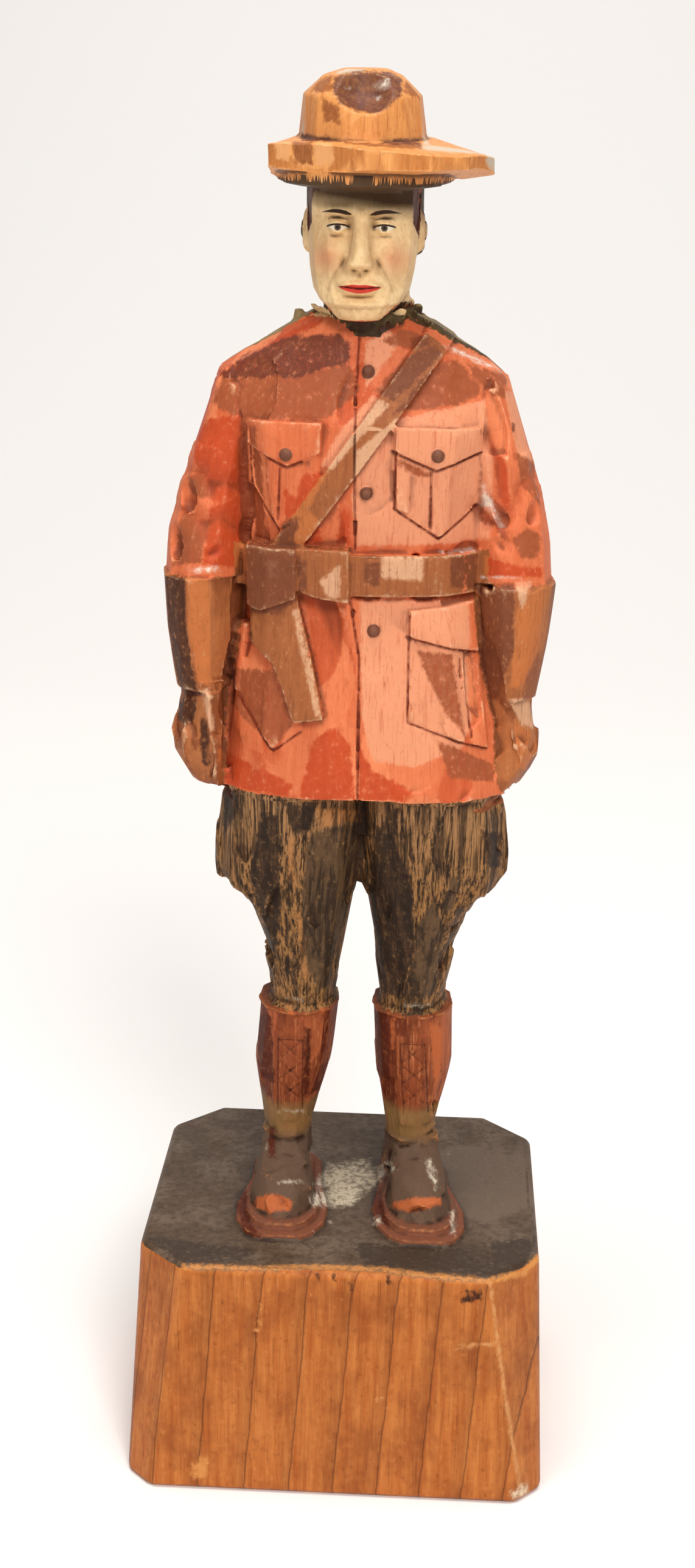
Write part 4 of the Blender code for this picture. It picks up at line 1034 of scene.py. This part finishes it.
def settled(values, rounds):
    """Values of the skin's points, each evened out with its neighbours' a number of times."""
    count = np.bincount(edges.ravel(), minlength=len(skin))[:, None]
    for _ in range(rounds):
        total = np.zeros_like(values)
        for k in range(values.shape[1]):
            total[:, k] += np.bincount(edges[:, 0], values[edges[:, 1], k], len(skin))
            total[:, k] += np.bincount(edges[:, 1], values[edges[:, 0], k], len(skin))
        values = 0.5 * values + 0.5 * total / count
    return values


skin[:] = settled(skin, 1)
normals = facing()
proud = ((skin - settled(skin, EVENING_ROUNDS)) * normals).sum(1)
marks["proud"] = np.clip(settled(proud[:, None], 1)[:, 0] / FULLY_PROUD, -1, 1)

mesh.vertices.foreach_set("co", skin.ravel())
for name, values in marks.items():
    layer = mesh.attributes.new(name, "FLOAT", "POINT")
    layer.data.foreach_set("value", values.astype(np.float32))
keep = face_front.copy()
for name in (*PAINT_MARKS, "leather", "hair", "hat", "wash", "boots", "buttons"):
    keep = np.maximum(keep, np.exp(-np.abs(marks[name]) * EDGE_KEPT))
group = carving.vertex_groups.new(name="free")
for share in range(KEPT_STEPS + 1):
    points = np.flatnonzero(np.round(keep * KEPT_STEPS) == share).tolist()
    group.add(points, 1 - share / KEPT_STEPS, "REPLACE")
bm = bmesh.new()
bm.from_mesh(mesh)
bmesh.ops.triangulate(bm, faces=bm.faces)
bm.to_mesh(mesh)
bm.free()
thin = carving.modifiers.new("Thin out", "DECIMATE")
thin.ratio = min(1.0, TRIANGLES / len(mesh.polygons))
thin.vertex_group = "free"
thin.vertex_group_factor = 0.02
graph = bpy.context.evaluated_depsgraph_get()
mesh = bpy.data.meshes.new_from_object(carving.evaluated_get(graph))
carving.modifiers.clear()
carving.vertex_groups.clear()
carving.data = mesh

corners = np.zeros(len(mesh.polygons) * 3, int)
mesh.polygons.foreach_get("vertices", corners)
corners = corners.reshape(-1, 3)
spots = np.zeros(len(mesh.vertices) * 3)
mesh.vertices.foreach_get("co", spots)


def on_faces(name):
    """A mark's mean on each triangle left after thinning."""
    values = np.zeros(len(mesh.vertices), np.float32)
    mesh.attributes[name].data.foreach_get("value", values)
    return values[corners].mean(1)


height = spots.reshape(-1, 3)[corners, 2].mean(1)
slots = np.zeros(len(corners), int)
slots[(height < HEM + 0.05) & ~((on_faces("gauntlet") > 0) & (height > 39.3))] = 3
slots[height < 0.2] = 4
slots[(height > 80.6) & (on_faces("collar") < 0)] = 2
slots[(height > 85) & (on_faces("hat") > 0)] = 1
for material in (coat_oils, hat_stain, face_oils, leg_wash, block_varnish):
    mesh.materials.append(material)
mesh.polygons.foreach_set("material_index", slots)
mesh.transform(Matrix.Translation((0, 0, BLOCK_TOP)) @ Matrix.Scale(PART, 4))
mesh.shade_smooth()
mesh.set_sharp_from_angle(angle=math.radians(SHARP_FROM))
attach(carving, "root")
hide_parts("carved_figure")


# The stand for the picture: a pale floor that curves up into a backdrop, and broad soft lights.
FLOOR_HALF, BACKDROP_HEIGHT, BEND_RADIUS = 1.2, 1.6, 0.8
bm = bmesh.new()
bmesh.ops.create_grid(bm, x_segments=1, y_segments=1, size=FLOOR_HALF)
far_edge = max(bm.edges, key=lambda e: sum(v.co.y for v in e.verts))
raised = bmesh.ops.extrude_edge_only(bm, edges=[far_edge])["geom"]
top_corners = [v for v in raised if isinstance(v, bmesh.types.BMVert)]
bmesh.ops.translate(bm, vec=(0, 0, BACKDROP_HEIGHT), verts=top_corners)
bmesh.ops.bevel(
    bm, geom=[far_edge], offset=BEND_RADIUS, offset_type="OFFSET", segments=24, profile=0.5, affect="EDGES",
    material=-1,
)
bmesh.ops.recalc_face_normals(bm, faces=bm.faces)
floor_mesh = bpy.data.meshes.new("floor")
bm.to_mesh(floor_mesh)
bm.free()
floor = bpy.data.objects.new("floor", floor_mesh)
bpy.context.scene.collection.objects.link(floor)
paper = bpy.data.materials.new("matt_white_paper")
paper.use_nodes = True
paper.node_tree.nodes["Principled BSDF"].inputs["Base Color"].default_value = linear("#F5F1ED")
paper.node_tree.nodes["Principled BSDF"].inputs["Roughness"].default_value = 0.9
floor_mesh.materials.append(paper)
floor_mesh.shade_smooth()


def soft_light(name, place, size, power, aim=(0, 0, 0.1)):
    """A broad square light that looks at a place, the carving unless another is given."""
    light = bpy.data.objects.new(name, bpy.data.lights.new(name, "AREA"))
    light.data.size = size
    light.data.energy = power
    light.location = place
    light.rotation_euler = (Vector(aim) - Vector(place)).to_track_quat("-Z", "Y").to_euler()
    bpy.context.scene.collection.objects.link(light)


soft_light("key", (0.16, -0.58, 0.58), 0.22, 3.6)
soft_light("fill", (-0.6, -0.55, 0.30), 0.5, 0.8)
soft_light("backdrop_light", (0.0, -0.1, 1.1), 0.6, 11.5, (0, 0.9, 0.35))
world = bpy.data.worlds.new("studio")
world.use_nodes = True
world.node_tree.nodes["Background"].inputs["Color"].default_value = linear("#FFFDFA")
world.node_tree.nodes["Background"].inputs["Strength"].default_value = 0.21
bpy.context.scene.world = world
bpy.context.scene.view_settings.view_transform = "Standard"
